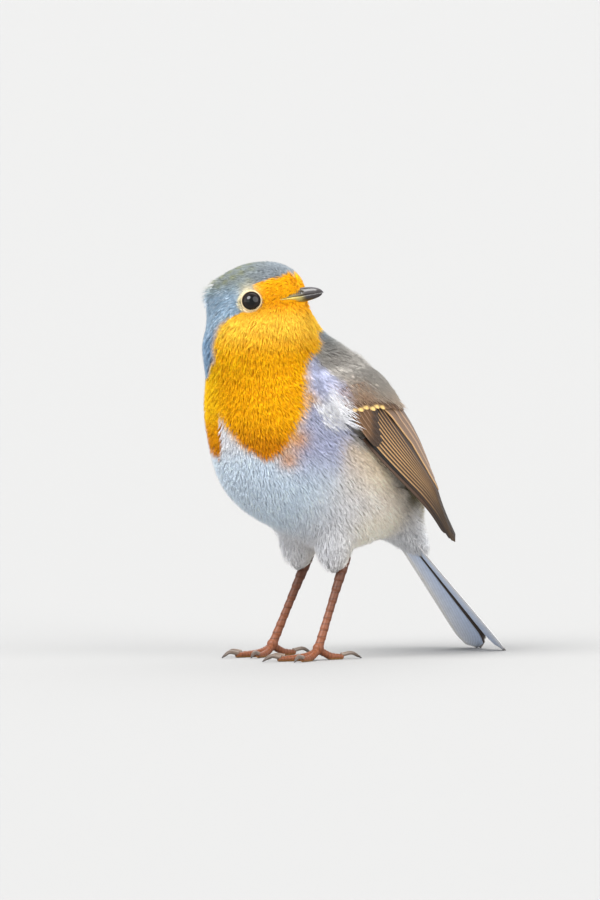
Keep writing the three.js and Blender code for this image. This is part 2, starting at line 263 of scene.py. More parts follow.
BACK_LINE = ((8, 33, 60), (62, 43, 19))  # y and height where the rump's colour begins
BIB_FLECKS = (((19.6, -15.1, 64.4), 3.2), ((17.4, -16.8, 58.5), 3.0), ((20.8, -11.2, 76.5), 2.2))
BIB_NOTCH, OLIVE_PATCH = ((0, -26, 66), 5.5), ((13.8, 30.4, 45.6), 3.2)
FLUFF = (((22.5, -1, 71), 3.4), ((22.2, -2.4, 74), 2.6))
LORES = (on_head(8.6, 6.5, -0.4), on_head(8.6, -6.5, -0.4))


def marking(points):
    """The plumage's colour at points: each marking is mixed over the last, by its height and its
    way round the body, or by its way round the head, with an edge that wanders a little."""
    x, y, z = points[:, 0], points[:, 1], points[:, 2]
    left = to_left(points)
    round_body = np.degrees(np.arctan2(x, np.interp(z, *BODY_AXIS) - y))
    side = np.abs(round_body)
    wander = np.sin(1.7 * x + 1.1 * z) * np.sin(1.3 * y - 1.9 * z) + 0.5 * np.sin(3.1 * z + 2.3 * x + 2.9 * y)
    wing_edge = bezier(WING_LOWER, np.linspace(0.22, 0.8, 24))
    under_wing = np.linalg.norm(left[:, None] - wing_edge, axis=-1).min(1)
    back = z - np.interp(y, *BACK_LINE)
    buff = np.exp(-((under_wing / 10.5) ** 2)) * smooth(86, 102, side + wander) * (1 - smooth(60, 67, z))
    colour = mix_over(
        np.broadcast_to(BODY_TINTS["belly"], points.shape), BODY_TINTS,
        # partly painted shade: the bluish cast on the belly's lower front
        ("front", (1 - smooth(-12, 4, y)) * (1 - smooth(56, 66, z))),
        ("vent", smooth(2, 14, y) * (1 - smooth(38, 48, z))),
        ("undertail", smooth(24, 32, y)),
        ("side", smooth(50, 64, side) * smooth(50, 62, z) * (1 - smooth(20, 34, y))),
        ("flank", 0.92 * buff),
    )
    mantle = smooth(-5, 5, side - np.interp(z, *MANTLE_EDGE) + 3 * wander) * smooth(-3, 3, back + wander)
    mantle_tint = mix(BODY_TINTS["mantle"], BODY_TINTS["scapular"], np.exp(-((z - 72) / 6) ** 2))
    colour = mix_over(
        mix(colour, mantle_tint, mantle), BODY_TINTS,
        ("rump", smooth(-2, 4, back + wander) * smooth(12, 22, y) * (1 - smooth(62, 74, z))),
        ("fluff", np.maximum(*(near(left, place, size) for place, size in FLUFF))),
        ("fluff", near(points, *BIB_NOTCH)),
        ("olive", 0.9 * near(left, *OLIVE_PATCH)),
    )

    forward, right, up = in_head(points)
    head_turn = round_head(forward, right)
    patchy = smooth(-0.2, 0.7, np.sin(1.1 * x + 0.9 * z) * np.sin(0.8 * y + 1.3 * z))
    head = mix_over(
        np.broadcast_to(HEAD_TINTS["crown"], points.shape), HEAD_TINTS,
        ("olive", 0.8 * patchy * smooth(3, 7, up)),
        ("forehead", smooth(-1, 9, forward)),
        ("ear", (1 - smooth(3, 9, up)) * smooth(60, 90, head_turn)),
        # painted shade: the bluish sky-lit cast, low round the head
        ("nape", smooth(-2, -9, up)),
        ("shade", smooth(99, 91, z) * smooth(60, 95, side)),
    )
    # Painted shade: the head's colours, bluish sky-lit cast and all, carried down the neck's right side.
    sky_shade_neck_side = (1 - smooth(2, 14, round_body)) * smooth(-150, -120, round_body) * smooth(78.5, 82, z)
    colour = mix(colour, head, np.maximum(smooth(86, 93, z), sky_shade_neck_side))

    bib_side = np.minimum(np.interp(z, *BIB_LEFT) - round_body, round_body - np.interp(z, *BIB_RIGHT))
    body_edge = np.minimum(bib_side * 0.34, z - np.interp(round_body, *BIB_FOOT))
    face_edge = np.minimum((np.interp(up, *FACE_SIDE) - head_turn) * 0.2, FACE_TOP - up)
    turned = smooth(100, 128, round_body)
    on_face = np.clip((z - 89 - 4.5 * turned) / (5 - 2 * turned), 0, 1)
    edge = body_edge + (face_edge - body_edge) * on_face
    bib = mix_over(
        np.broadcast_to(BIB_TINTS["breast"], points.shape), BIB_TINTS,
        ("low", smooth(71, 60, z + wander)),
        ("low", 0.8 * smooth(-12, -26, round_body) * smooth(70, 64, z)),
        ("side", 0.6 * smooth(12, -14, round_body) * smooth(66, 73, z)),
        ("chin", smooth(87, 97, z)),
        ("face", smooth(97, 103, z)),
        ("lore", sum(near(points, place, 2.6) for place in LORES)),
    )
    fleck = 0.8 * sum(near(left, place, size) for place, size in BIB_FLECKS)
    rim = 0.5 * smooth(-2.6, -0.8, edge) * (z > 60) * (z < 98)
    colour = mix(colour, BIB_TINTS["rim"], rim)
    colour = mix(colour, bib, np.maximum(smooth(-0.9, 0.7, edge + 0.55 * wander), np.minimum(fleck, 1)))
    for centre in EYES.values():
        behind = centre + on_head(-0.35, 0, 0.15) - HEAD_CENTRE
        brow = centre + on_head(-0.6, 0, 3.4) - HEAD_CENTRE
        ring = 1 - smooth(3.35, 3.95, np.linalg.norm(points - behind, axis=-1))
        colour = mix(colour, HEAD_TINTS["eye_ring"], np.maximum(ring, 0.85 * near(points, brow, 2.5)))
    return colour


# ---- skin ------------------------------------------------------------------
# Under the feathers one skin covers head, neck, trunk and thighs without a seam.
# Rays leave a curve inside the bird square to it and fan out at its ends; each stops at the skin.
SPINE = ((0, 33, 44), (0, 8, 64), (0, -14.7, 77.5), (0, -14.7, 101))
FAN_RUMP, FAN_HEAD = 0.16, 0.78  # shares of the length where the rays fan out
SKIN_ROWS, SKIN_ROUND = 170, 180
RAY_START, RAY_STEPS, RAY_PACE = 4.0, 36, 0.8
THIGH_PATH = ((8.5, 4, 44), (9.0, 6, 37.1), (9.2, 7.2, 31.6), (9.2, 8.4, 26.2))
THIGH_RADII = (4.0, 4.8, 3.4, 1.3)
THIGH_ROWS, THIGH_ROUND = 24, 28
THIGH_BAND = 0.9  # the part of the unwrap that the trunk takes, with the thighs above it
SKIN_SHADE = 0.9  # how much of the feathers' tone the skin under them keeps


def outward_faces(points, faces):
    """Faces turned round if their volume, the sum of a . (b x c) / 6 over them, is negative."""
    a, b, c = (points[faces[:, k]] for k in range(3))
    volume = np.einsum("ij,ij->i", a, np.cross(b, c)).sum()
    return faces if volume > 0 else faces[:, ::-1]


def loft_faces(items, stations, around, pointed=False):
    """Triangles of many closed lofts alike: a wall between neighbouring rings, a fan over the first
    ring, and a fan over the last or, where it is pointed, a cone to one more point."""
    i, j = np.meshgrid(np.arange(stations - 1), np.arange(around), indexing="ij")
    here, turn = i * around + j, i * around + (j + 1) % around
    wall = np.stack([here, turn, turn + around, here, turn + around, here + around], -1).reshape(-1, 3)
    k = np.arange(1, around - 1)
    last = (stations - 1) * around
    parts = [wall, np.stack([0 * k, k + 1, k], -1)]
    if pointed:
        k = np.arange(around)
        parts.append(np.stack([last + k, last + (k + 1) % around, 0 * k + last + around], -1))
    else:
        parts.append(np.stack([0 * k + last, last + k, last + k + 1], -1))
    one = np.concatenate(parts)
    size = stations * around + (1 if pointed else 0)
    return (np.arange(items)[:, None, None] * size + one).reshape(-1, 3)


def set_tones(mesh, tones):
    """Gives a mesh its tones: linear colours at its points, which every material reads."""
    layer = mesh.color_attributes.new("tone", "FLOAT_COLOR", "POINT")
    rgba = np.concatenate([tones, np.ones((len(tones), 1))], -1)
    layer.data.foreach_set("color", rgba.astype(np.float32).ravel())


def make_piece(name, points, faces, material, nodes=(), tones=None, maps=None):
    """A mesh of triangles as one piece on the root body, with its tones (linear colours at the
    points) and its maps (a UV pair for each corner of each face)."""
    mesh = bpy.data.meshes.new(name)
    mesh.vertices.add(len(points))
    mesh.vertices.foreach_set("co", ((points + SHIFT) * MM).astype(np.float32).ravel())
    mesh.loops.add(faces.size)
    mesh.loops.foreach_set("vertex_index", faces.astype(np.int32).ravel())
    mesh.polygons.add(len(faces))
    mesh.polygons.foreach_set("loop_start", np.arange(0, faces.size, 3, dtype=np.int32))
    mesh.polygons.foreach_set("use_smooth", np.ones(len(faces), bool))
    if tones is not None:
        set_tones(mesh, tones)
    for label, pairs in (maps or {}).items():
        layer = mesh.uv_layers.new(name=label)
        layer.data.foreach_set("uv", pairs.astype(np.float32).ravel())
    mesh.update(calc_edges=True)
    piece = bpy.data.objects.new(name, mesh)
    bpy.context.scene.collection.objects.link(piece)
    mesh.materials.append(material)
    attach(piece, "root")
    if nodes:
        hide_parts(*nodes)
    return piece


def work_in(piece, modifier):
    """Works a modifier into its piece's mesh."""
    bpy.context.view_layer.objects.active = piece
    bpy.ops.object.modifier_apply(modifier=modifier.name)


def mesh_places(mesh):
    """Where a finished mesh's points lie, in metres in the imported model's frame."""
    place = np.zeros(len(mesh.vertices) * 3, np.float32)
    mesh.vertices.foreach_get("co", place)
    return place.reshape(-1, 3).astype(float)


def coat_depth(points):
    """How thick the coat lies: thin on the face, thicker down the body."""
    return np.interp(points[..., 2], [30, 45, 60, 88, 96], [1.8, 2.0, 1.7, 1.4, 0.8])


def skin_ray(along, round_share):
    """The start and way of the ray at a share of the length and a share of the way round."""
    t = np.clip((along - FAN_RUMP) / (FAN_HEAD - FAN_RUMP), 0, 1)
    ahead = unit(bezier(SPINE, np.minimum(t + 0.005, 1)) - bezier(SPINE, np.maximum(t - 0.005, 0)))
    back = np.stack([0 * t, ahead[..., 2], -ahead[..., 1]], -1)
    past_head = np.maximum(0, (along - FAN_HEAD) / (1 - FAN_HEAD))
    past = np.where(along < FAN_RUMP, along / FAN_RUMP - 1, past_head)
    fan, angle = past[..., None] * math.pi / 2, round_share[..., None] * 2 * math.pi
    square = back * np.cos(angle) + np.array([1.0, 0, 0]) * np.sin(angle)
    return bezier(SPINE, t), square * np.cos(fan) + ahead * np.sin(fan)


def skin_points(along, round_share):
    """Points of the skin, found by stepping along each ray until its gap is minus the coat's depth."""
    start, way = skin_ray(along, round_share)
    reach = np.full(along.shape, RAY_START)
    for _ in range(RAY_STEPS):
        points = start + way * reach[..., None]
        reach -= RAY_PACE * (plumage_gap(points, MASSES)[0] + coat_depth(points))
    return start + way * reach[..., None]


def smooth_run(values, count):
    """count values or points at even steps along a smooth curve through given ones (Catmull-Rom)."""
    p = np.asarray(values, float)
    p = np.concatenate([2 * p[:1] - p[1:2], p, 2 * p[-1:] - p[-2:-1]])
    place = np.linspace(0, len(p) - 3, count)
    k = np.minimum(place.astype(int), len(p) - 4)
    t = (place - k).reshape((-1,) + (1,) * (p.ndim - 1))
    a, b, c, d = p[k], p[k + 1], p[k + 2], p[k + 3]
    return 0.5 * (2 * b + (c - a) * t + (2 * a - 5 * b + 4 * c - d) * t**2 + (3 * b - a - 3 * c + d) * t**3)


def sweep(path, radii, around):
    """Rings of a round tube along points, with a radius at each: centre + r (a cos + b sin)."""
    ahead = unit(np.gradient(path, axis=0))
    side = unit(np.cross(ahead, np.array([1.0, 0.2, 0])))
    other = np.cross(ahead, side)
    angle = np.arange(around) / around * 2 * math.pi
    ring = side[:, None] * np.cos(angle)[:, None] + other[:, None] * np.sin(angle)[:, None]
    return path[:, None] + ring * radii[:, None, None]


def thigh_patch(along, round_share, side):
    """A place of a thigh on the unwrap: a strip above the trunk's, the left thigh's to the left."""
    start = 0.02 if side > 0 else 0.52
    return np.stack([round_share * 0.45 + start, along * 0.08 + THIGH_BAND + 0.01], -1)


def toned_material(name, roughness, gloss):
    """A material that shows the tone of each place. Gives it, its tone node and its shader."""
    material = bpy.data.materials.new(name)
    material.use_nodes = True
    tone = material.node_tree.nodes.new("ShaderNodeAttribute")
    tone.attribute_name = "tone"
    shader = material.node_tree.nodes["Principled BSDF"]
    shader.inputs["Roughness"].default_value = roughness
    shader.inputs["Specular IOR Level"].default_value = gloss
    return material, tone, shader


def soft_material(name, roughness, sheen, speckle, scale, gloss=0.25):
    """Matt plumage or skin: the tone of each place, broken up by a fine lighter and darker noise."""
    material, tone, shader = toned_material(name, roughness, gloss)
    shader.inputs["Sheen Weight"].default_value = sheen
    shader.inputs["Sheen Roughness"].default_value = 0.5
    nodes, links = material.node_tree.nodes, material.node_tree.links
    coordinate = nodes.new("ShaderNodeTexCoord")
    fine = nodes.new("ShaderNodeTexNoise")
    fine.inputs["Scale"].default_value = scale
    fine.inputs["Detail"].default_value = 3
    spread = nodes.new("ShaderNodeMapRange")
    spread.inputs["From Min"].default_value = 0.3
    spread.inputs["From Max"].default_value = 0.7
    spread.inputs["To Min"].default_value = 1 - speckle
    spread.inputs["To Max"].default_value = 1 + speckle
    shade = nodes.new("ShaderNodeVectorMath")
    shade.operation = "SCALE"
    links.new(coordinate.outputs["Object"], fine.inputs["Vector"])
    links.new(fine.outputs["Fac"], spread.inputs["Value"])
    links.new(tone.outputs["Color"], shade.inputs[0])
    links.new(spread.outputs["Result"], shade.inputs["Scale"])
    links.new(shade.outputs["Vector"], shader.inputs["Base Color"])
    return material


rows = np.linspace(0, 1, SKIN_ROWS)
turns = np.arange(SKIN_ROUND) / SKIN_ROUND
skin_along, skin_turn = np.meshgrid(rows[1:-1], turns, indexing="ij")
skin_grid = skin_points(skin_along, skin_turn)
skin_poles = skin_points(rows[[0, -1]], np.zeros(2))
trunk_points = np.concatenate([skin_grid.reshape(-1, 3), skin_poles])
wall_rows = SKIN_ROWS - 2
step = np.arange(SKIN_ROUND)
first, last = wall_rows * SKIN_ROUND, (wall_rows - 1) * SKIN_ROUND
skin_faces = np.concatenate([
    loft_faces(1, wall_rows, SKIN_ROUND)[: 2 * (wall_rows - 1) * SKIN_ROUND],
    np.stack([0 * step + first, (step + 1) % SKIN_ROUND, step], -1),
    np.stack([last + step, last + (step + 1) % SKIN_ROUND, 0 * step + first + 1], -1),
])
skin_uv = np.stack([skin_along, skin_turn], -1).reshape(-1, 2)
skin_uv = np.concatenate([skin_uv, [[0, 0], [1, 0]]])[skin_faces]
wraps = (skin_uv[..., 1].max(1) - skin_uv[..., 1].min(1)) > 0.5
skin_uv[..., 1] += wraps[:, None] * (skin_uv[..., 1] < 0.5)
skin_uv = skin_uv[..., ::-1] * [1, THIGH_BAND]

plumage = soft_material("plumage", 0.85, 0.03, 0.09, 1400, 0.1)
skin = make_piece(
    "skin", trunk_points, outward_faces(trunk_points, skin_faces), plumage,
    ("head", "neck", "trunk", "thigh_left", "thigh_right"), maps={"OFBake": skin_uv},
)
thigh_rings = sweep(smooth_run(THIGH_PATH, THIGH_ROWS), smooth_run(THIGH_RADII, THIGH_ROWS), THIGH_ROUND)
thigh_along, thigh_turn = np.meshgrid(
    np.linspace(0, 1, THIGH_ROWS), np.arange(THIGH_ROUND) / THIGH_ROUND, indexing="ij"
)
for side in (1, -1):
    points = thigh_rings.reshape(-1, 3) * [side, 1, 1]
    faces = outward_faces(points, loft_faces(1, THIGH_ROWS, THIGH_ROUND))
    thigh_uv = thigh_patch(thigh_along.ravel(), thigh_turn.ravel(), side)[faces]
    thigh = make_piece("thigh_to_join", points, faces, plumage, maps={"OFBake": thigh_uv})
    join = skin.modifiers.new("thigh", "BOOLEAN")
    join.operation, join.object, join.solver = "UNION", thigh, "EXACT"
    work_in(skin, join)
    bpy.data.objects.remove(thigh)
set_tones(skin.data, marking(mesh_places(skin.data) / MM - SHIFT) * SKIN_SHADE)
skin.data.polygons.foreach_set("use_smooth", np.ones(len(skin.data.polygons), bool))


# ---- coat ------------------------------------------------------------------
# Small body feathers lie over each other from bill to tail. Each is a tuft of fine barbs, rooted
# in the skin, that lies along the body and ends at the plumage's surface.
chance = np.random.default_rng(11)
BILL_ROOT = on_head(10.6, 0, 0.1)
TUFTS, THIGH_TUFTS = ((13800, 340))
BARBS = 7  # in each tuft
BARB_RISE = 0.55  # a barb's height, as a share of half its width
BAKE_PATCH = 0.003  # how wide a tuft's patch is on the unwrap
PLASTIC = 1.32471795724474602596  # g, with g^3 = g + 1
HEAD_CROWD = 1.3  # how much denser tufts stand on the head than their length asks for
EYE_BARE = 2.95  # no tuft is rooted nearer to an eye's middle
CREST = (on_head(-9, 5.5, 6.5), on_head(-9, -5.5, 6.5))  # where the nape's feathers stand up


def part_towards(start, goal, share):
    """start where share is 0, goal where it is 1, with share given along the last axis."""
    return start + (goal - start) * share


def lie_of_plumage(points, out):
    """The way feathers lie: away from the bill on the head, down the neck, then down and back."""
    z = points[..., 2:3]
    head = unit(unit(points - BILL_ROOT) + np.array([0, 0, -0.55]))
    way = part_towards(np.array([0, 0.05, -1.0]), np.array([0, 0.66, -0.75]), 1 - smooth(72, 88, z))
    from_thigh = np.hypot(np.abs(points[..., 0]) - 9, points[..., 1] - 6.5)[..., None]
    on_thigh = (1 - smooth(5, 9, from_thigh)) * (1 - smooth(38, 46, z))
    way = part_towards(way, np.array([0, 0.12, -1.0]), on_thigh)
    way = part_towards(way, head, smooth(88, 97, z))
    return unit(way - out * np.einsum("...i,...i->...", way, out)[..., None])


def from_eyes(points):
    """How far points lie from the nearer eye's middle."""
    return np.minimum(*(np.linalg.norm(points - centre, axis=-1) for centre in EYES.values()))


def feather_length(points):
    """Tuft lengths: shortest round the bill and the eyes, longest on belly and flanks."""
    from_bill = np.linalg.norm(points - BILL_ROOT, axis=-1)
    on_face = np.interp(from_bill, [2, 5, 9, 14, 20, 28], [1.5, 2.1, 2.8, 3.8, 5.2, 7])
    by_eye = np.interp(from_eyes(points), [2.9, 4.0, 6.5], [0.45, 1.0, 3.0])
    on_body = np.interp(points[..., 2], [24, 32, 45, 60, 75, 88], [4.5, 8.5, 9.5, 8.5, 7.5, 6])
    return np.minimum(np.minimum(on_face, by_eye), on_body)


def even_pairs(count):
    """count pairs of shares spread evenly over a square: the parts past the whole number of
    0.5 + n / g and 0.5 + n / g^2."""
    n = np.arange(1, count + 1)
    return (0.5 + n / PLASTIC) % 1, (0.5 + n / PLASTIC**2) % 1


def spread_evenly(weights, count):
    """count places over a grid, spread evenly but as dense as the weights: even pairs sent back
    through the weights' running sums, first the rows' and then the row's own."""
    a, b = even_pairs(count)
    row_sum = weights.sum(1)
    row_run = np.concatenate([[0], np.cumsum(row_sum)])
    row_place = np.interp(a, row_run / row_run[-1], np.arange(len(row_run)))
    row = np.minimum(row_place.astype(int), len(row_sum) - 1)
    flat = np.concatenate([[0], np.cumsum(weights.ravel())])
    target = row_run[row] + b * row_sum[row]
    cell = np.clip(np.searchsorted(flat, target, side="right") - 1, 0, weights.size - 1)
    part = (target - flat[cell]) / np.maximum(weights.ravel()[cell], 1e-12)
    return row_place, cell % weights.shape[1] + part


def between_rings(grid, row, turn):
    """Points of a grid of rings at places between its rows and turns, from the four round each."""
    i = np.minimum(row.astype(int), grid.shape[0] - 2)
    j = np.minimum(turn.astype(int), grid.shape[1] - 2)
    u, v = (row - i)[:, None], (turn - j)[:, None]
    this_turn = grid[i, j] * (1 - u) + grid[i + 1, j] * u
    next_turn = grid[i, j + 1] * (1 - u) + grid[i + 1, j + 1] * u
    return this_turn * (1 - v) + next_turn * v


wing_s, wing_w = np.meshgrid(np.linspace(0.02, 1, 60), np.linspace(-0.15, 1.15, 34), indexing="ij")
wing_span = bezier(WING_UPPER, wing_s) - bezier(WING_LOWER, wing_s)
wing_samples = (bezier(WING_LOWER, wing_s) + wing_span * wing_w[..., None]).reshape(-1, 3)


def wing_place(points):
    """The share of the way along and across the folded wing that lies nearest to each point, and
    how far off it is."""
    left = to_left(points)
    nearest = np.concatenate([
        np.argmin(((part[:, None] - wing_samples) ** 2).sum(-1), 1) for part in np.array_split(left, 40)
    ])
    far = np.linalg.norm(left - wing_samples[nearest], axis=-1)
    return wing_s.ravel()[nearest], wing_w.ravel()[nearest], far


def barb_mesh(centres, sides, outs, width, streak, which, across, root_uv, marks=None):
    """Closed barbs along their centres, each a flat triangle in section that narrows to a point.
    Their marks are the plumage's markings unless given; some barbs of a tuft, by its streak, are
    paler. Gives points, faces, tones and the bake map's pairs."""
    count, stations = len(root_uv), centres.shape[1] - 1
    thin = np.concatenate([[0.7], np.linspace(1, 0.62, stations - 1)])[:, None]
    half = (width[which] / 2)[:, None, None] * thin
    body, over, lie = centres[:, :-1], outs[:, :-1], sides[:, :-1]
    rings = np.stack([body + lie * half, body + over * half * BARB_RISE, body - lie * half], 2)
    points = np.concatenate([rings.reshape(len(which), -1, 3), centres[:, -1:]], 1)
    faces = loft_faces(len(which), stations, 3, pointed=True)
    mark = marking(centres[:, stations // 2]) if marks is None else marks
    share = (streak[which] * (chance.random(len(which)) < 0.35))[:, None]
    grey = (mark[:, 2] / np.maximum(mark[:, 0], 1e-6))[:, None]
    paler = mark ** (0.5 + np.array([0, 0.05, 0.4]) * (1 - np.minimum(grey, 1)))
    mark = mark + (paler - mark) * share
    bright = np.exp(chance.normal(0, 0.06, count)[which] + chance.normal(0, 0.05, len(which)))
    shade = np.concatenate([np.repeat(np.linspace(0.85, 1.0, stations), 3), [1.05]])
    tones = mark[:, None] * bright[:, None, None] * shade[None, :, None]
    along = np.concatenate([np.repeat(np.linspace(-0.5, 0.3, stations), 3), [0.5]])
    pair = np.stack(np.broadcast_arrays(np.clip(across, -0.5, 0.5)[:, None], along[None]), -1)
    pair = pair * BAKE_PATCH + np.clip(root_uv[which], 0.002, 0.998)[:, None]
    tones = np.clip(tones, 0, 1).reshape(-1, 3)
    return points.reshape(-1, 3), faces, tones, pair.reshape(-1, 2)[faces]


def grow(name, slot, roots, root_uv, stations, *settings):
    """One piece of the coat: tufts of fine closed barbs on these roots. The settings are each
    tuft's length, barb width, lift, fan, looseness and streak. A tuft's barbs start side by side
    and fan out; each goes step by step along the lie of the plumage, and its height over the
    surface runs from the skin's depth up to lift as (t / 0.85)^1.2."""
    count = len(roots)
    length, width, lift, fan, loose, streak = (np.broadcast_to(value, count) for value in settings)
    spread = (np.arange(BARBS) + 0.5) / BARBS - 0.5
    which = np.repeat(np.arange(count), BARBS)
    across = np.tile(spread, count) + chance.normal(0, 0.12, len(which))
    far = length[which] * (1 - 1.4 * across**2) * np.exp(chance.normal(0, 0.13, len(which)))
    tuft_turn = chance.normal(0, 0.10, count)[which]
    barb_turn = chance.normal(0, 0.05, len(which)) * loose[which]
    heading = np.tan(tuft_turn + fan[which] * across + barb_turn)
    tip = lift[which] + np.abs(chance.normal(0, 0.1, len(which))) * (0.4 + loose[which])
    tip = tip + chance.normal(0, 0.06, count)[which]
    start_gap, out = plumage_gap(roots[which])
    side = np.cross(out, lie_of_plumage(roots[which], out))
    point = roots[which] + side * (across * width[which] * 5.0)[:, None]
    centres, sides, outs = [], [], []
    for k in range(stations + 1):
        gap, out = plumage_gap(point)
        if k:
            goal = start_gap + (tip - start_gap) * min(1.0, k / stations / 0.85) ** 1.2
            point = point + out * (goal - gap)[:, None]
        way = lie_of_plumage(point, out)
        heading_way = unit(way + np.cross(out, way) * heading[:, None])
        centres.append(point)
        sides.append(np.cross(out, heading_way))
        outs.append(out)
        point = point + heading_way * (far / stations)[:, None]
    centres, sides, outs = (np.stack(a, 1) for a in (centres, sides, outs))
    points, faces, tones, pairs = barb_mesh(centres, sides, outs, width, streak, which, across, root_uv)
    make_piece(name, points, faces, plumage, tones=tones, maps={"OFBake": pairs})


closed = np.concatenate([skin_grid, skin_grid[:, :1]], 1)
diagonals = closed[1:, :-1] - closed[:-1, :-1], closed[:-1, 1:] - closed[:-1, :-1]
cell_area = np.linalg.norm(np.cross(*diagonals), axis=-1)
cell_middle = (closed[1:, :-1] + closed[:-1, 1:]) / 2
crowd = 1 + HEAD_CROWD * (np.arange(wall_rows - 1) / wall_rows > 0.8)[:, None]
place_row, place_round = spread_evenly(crowd * cell_area / feather_length(cell_middle) ** 1.15, TUFTS)
root_along = rows[1] + place_row / (wall_rows - 1) * (rows[-2] - rows[1])
root_round = place_round / SKIN_ROUND % 1
roots = skin_points(root_along, root_round)
root_s, root_w, root_far = wing_place(roots)
under_wing = (root_s > 0.27) & (root_s < 0.64) & (root_w > 0.14) & (root_w < 0.95) & (root_far < 5.5)
forward, right, up = in_head(roots)
at_bill = (forward > 9.5) & (np.hypot(right, up - 0.1) < 2.3)
keep = ~under_wing & (from_eyes(roots) > EYE_BARE) & ~at_bill
roots, root_along, root_round, root_s, root_w, root_far, forward, right, up = (
    values[keep] for values in (roots, root_along, root_round, root_s, root_w, root_far, forward, right, up)
)
root_uv = np.stack([root_round, root_along * THIGH_BAND], -1)

head_turn = round_head(forward, right)
low_down = 1 - smooth(40, 56, roots[:, 2])
length = feather_length(roots)
width = np.interp(length, [0.9, 2, 4, 9], [0.15, 0.19, 0.24, 0.31])
crest = np.minimum(sum(near(roots, place, 4) for place in CREST), 1) * (chance.random(len(roots)) < 0.3)
over_edge = (root_w > 0.9) & (root_s < 0.6) & (root_far < 6)
at_fold = np.exp(-((root_far / 4.5) ** 2)) * (root_w < 0.08)
at_fold = at_fold * smooth(0.12, 0.2, root_s) * (1 - smooth(0.5, 0.62, root_s))
lift = 0.12 + 2.4 * crest + 0.5 * (1 - smooth(38, 50, roots[:, 2])) + 0.9 * over_edge + 1.2 * at_fold
loose = 0.5 + 1.6 * low_down + 1.2 * crest
white_streaked = smooth(70, 100, head_turn) * (1 - smooth(5, 8, up)) * smooth(80, 86, roots[:, 2])
streak = 0.22 + 0.55 * np.maximum(white_streaked, crest)
ventral = np.abs(root_round - 0.5)
on_skull, on_trunk, on_left = root_along > 0.8, root_along <= 0.66, root_round < 0.5
on_neck = ~on_skull & ~on_trunk
front, dorsal = on_trunk & (ventral < 0.15), on_trunk & (ventral > 0.36)
flank = on_trunk & ~front & ~dorsal
facing = on_skull & (head_turn < 96) & (up < 6.5)
breast, belly = front & (root_along > 0.43), front & (root_along <= 0.43)
parts = {
    "face": (facing, "breast_plumage"),
    "crown": (on_skull & ~facing, "crown_plumage"),
    "neck_left": (on_neck & on_left, "breast_plumage"),
    "neck_right": (on_neck & ~on_left, "breast_plumage"),
    "breast_left": (breast & on_left, "breast_plumage"),
    "breast_right": (breast & ~on_left, "breast_plumage"),
    "belly_left": (belly & on_left, "body_plumage"),
    "belly_right": (belly & ~on_left, "body_plumage"),
    "back": (dorsal & (root_along > 0.35), "body_plumage"),
    "rump": (dorsal & (root_along <= 0.35), "body_plumage"),
    "side_left": (flank & on_left, "body_plumage"),
    "side_right": (flank & ~on_left, "body_plumage"),
}
for name, (here, slot) in parts.items():
    stations = 2 if name in ("face", "crown") else 3
    settings = length[here], width[here], lift[here], 0.5, loose[here], streak[here]
    grow(f"coat_{name}", slot, roots[here], root_uv[here], stations, *settings)

thigh_grid = np.concatenate([thigh_rings, thigh_rings[:, :1]], 1)
thigh_a, thigh_b = even_pairs(THIGH_TUFTS)
thigh_a = 0.12 + 0.86 * thigh_a
for side_name, side in (("left", 1), ("right", -1)):
    thigh_roots = between_rings(thigh_grid, thigh_a * (THIGH_ROWS - 1), thigh_b * THIGH_ROUND) * [side, 1, 1]
    thigh_length = np.interp(thigh_roots[:, 2], [26, 30, 36, 44], [2.6, 4.2, 6.5, 7.5])
    settings = thigh_length, 0.3, 0.3, 0.5, 1.2, 0.3
    thigh_uv = thigh_patch(thigh_a, thigh_b, side)
    grow(f"coat_thigh_{side_name}", "body_plumage", thigh_roots, thigh_uv, 3, *settings)


# ---- wings -----------------------------------------------------------------
# The folded wing is a fan of stiff vanes closed over each other: flight feathers below, coverts
# over their roots. Each vane is brown with a paler edge, and the upper ones lie on the lower.
WING_CAMBER, WING_SQUARE = 2.4, 0.93  # the blade keeps one way across past this share
# The gap tint is painted shadow: the near-black shade along the folded wing's lower edge.
WING_TINTS = named_tints(
    vane=(70, 50, 36), dark=(36, 26, 20), gap=(22, 17, 14), low=(84, 64, 50), tip=(42, 33, 26),
    gold=(200, 158, 108), rim=(136, 106, 80), pale=(184, 150, 120), tertial=(124, 98, 78),
    covert=(98, 69, 42), spot=(250, 208, 128), under=(80, 64, 54),
)
STATIONS = 34  # places along a vane
VANE_ALONG = np.linspace(0, 1, STATIONS)
VANE_ACROSS = np.array([0, 0.05, 0.1, 0.14, 0.3, 0.44, 0.48, 0.52, 0.7, 0.9, 1.0])
SHAFT_RISE = 0.08 * np.exp(-(((VANE_ACROSS - 0.48) / 0.05) ** 2))
REMIGES = 12
REMEX_LOW = (0.1, 1.1, 2.3, 3.6, 4.9, 6.2, 7.5, 8.7, 9.9, 11.1, 12.4, 13.8)  # from the lower edge
REMEX_TIP = (0.94, 0.975, 0.99, 0.985, 0.97, 0.94, 0.905, 0.87, 0.835, 0.805, 0.78, 0.76)
REMEX_WIDTH, COVERT_WIDTH, GREATER_WIDTH = 4.8, 3.0, 3.8
TERTIALS = ((0.0, 0.74, 6.6), (4.4, 0.68, 6.6), (8.6, 0.61, 7.5))  # step up, tip, width
TERTIAL_LOW = ((0.14, 0.25, 0.35, 0.46, 0.61, 0.74), (14.2, 15, 16.3, 16.2, 12.6, 8.0))
PRIMARY_COVERTS = (  # lower edge, tip
    (-0.3, 0.405), (1.2, 0.395), (2.7, 0.362), (4.2, 0.33), (5.7, 0.295), (7.2, 0.262),
)
GREATER_COVERTS, SPOTTED_BELOW = 11, 14  # the second: how far up the coverts have pale spots


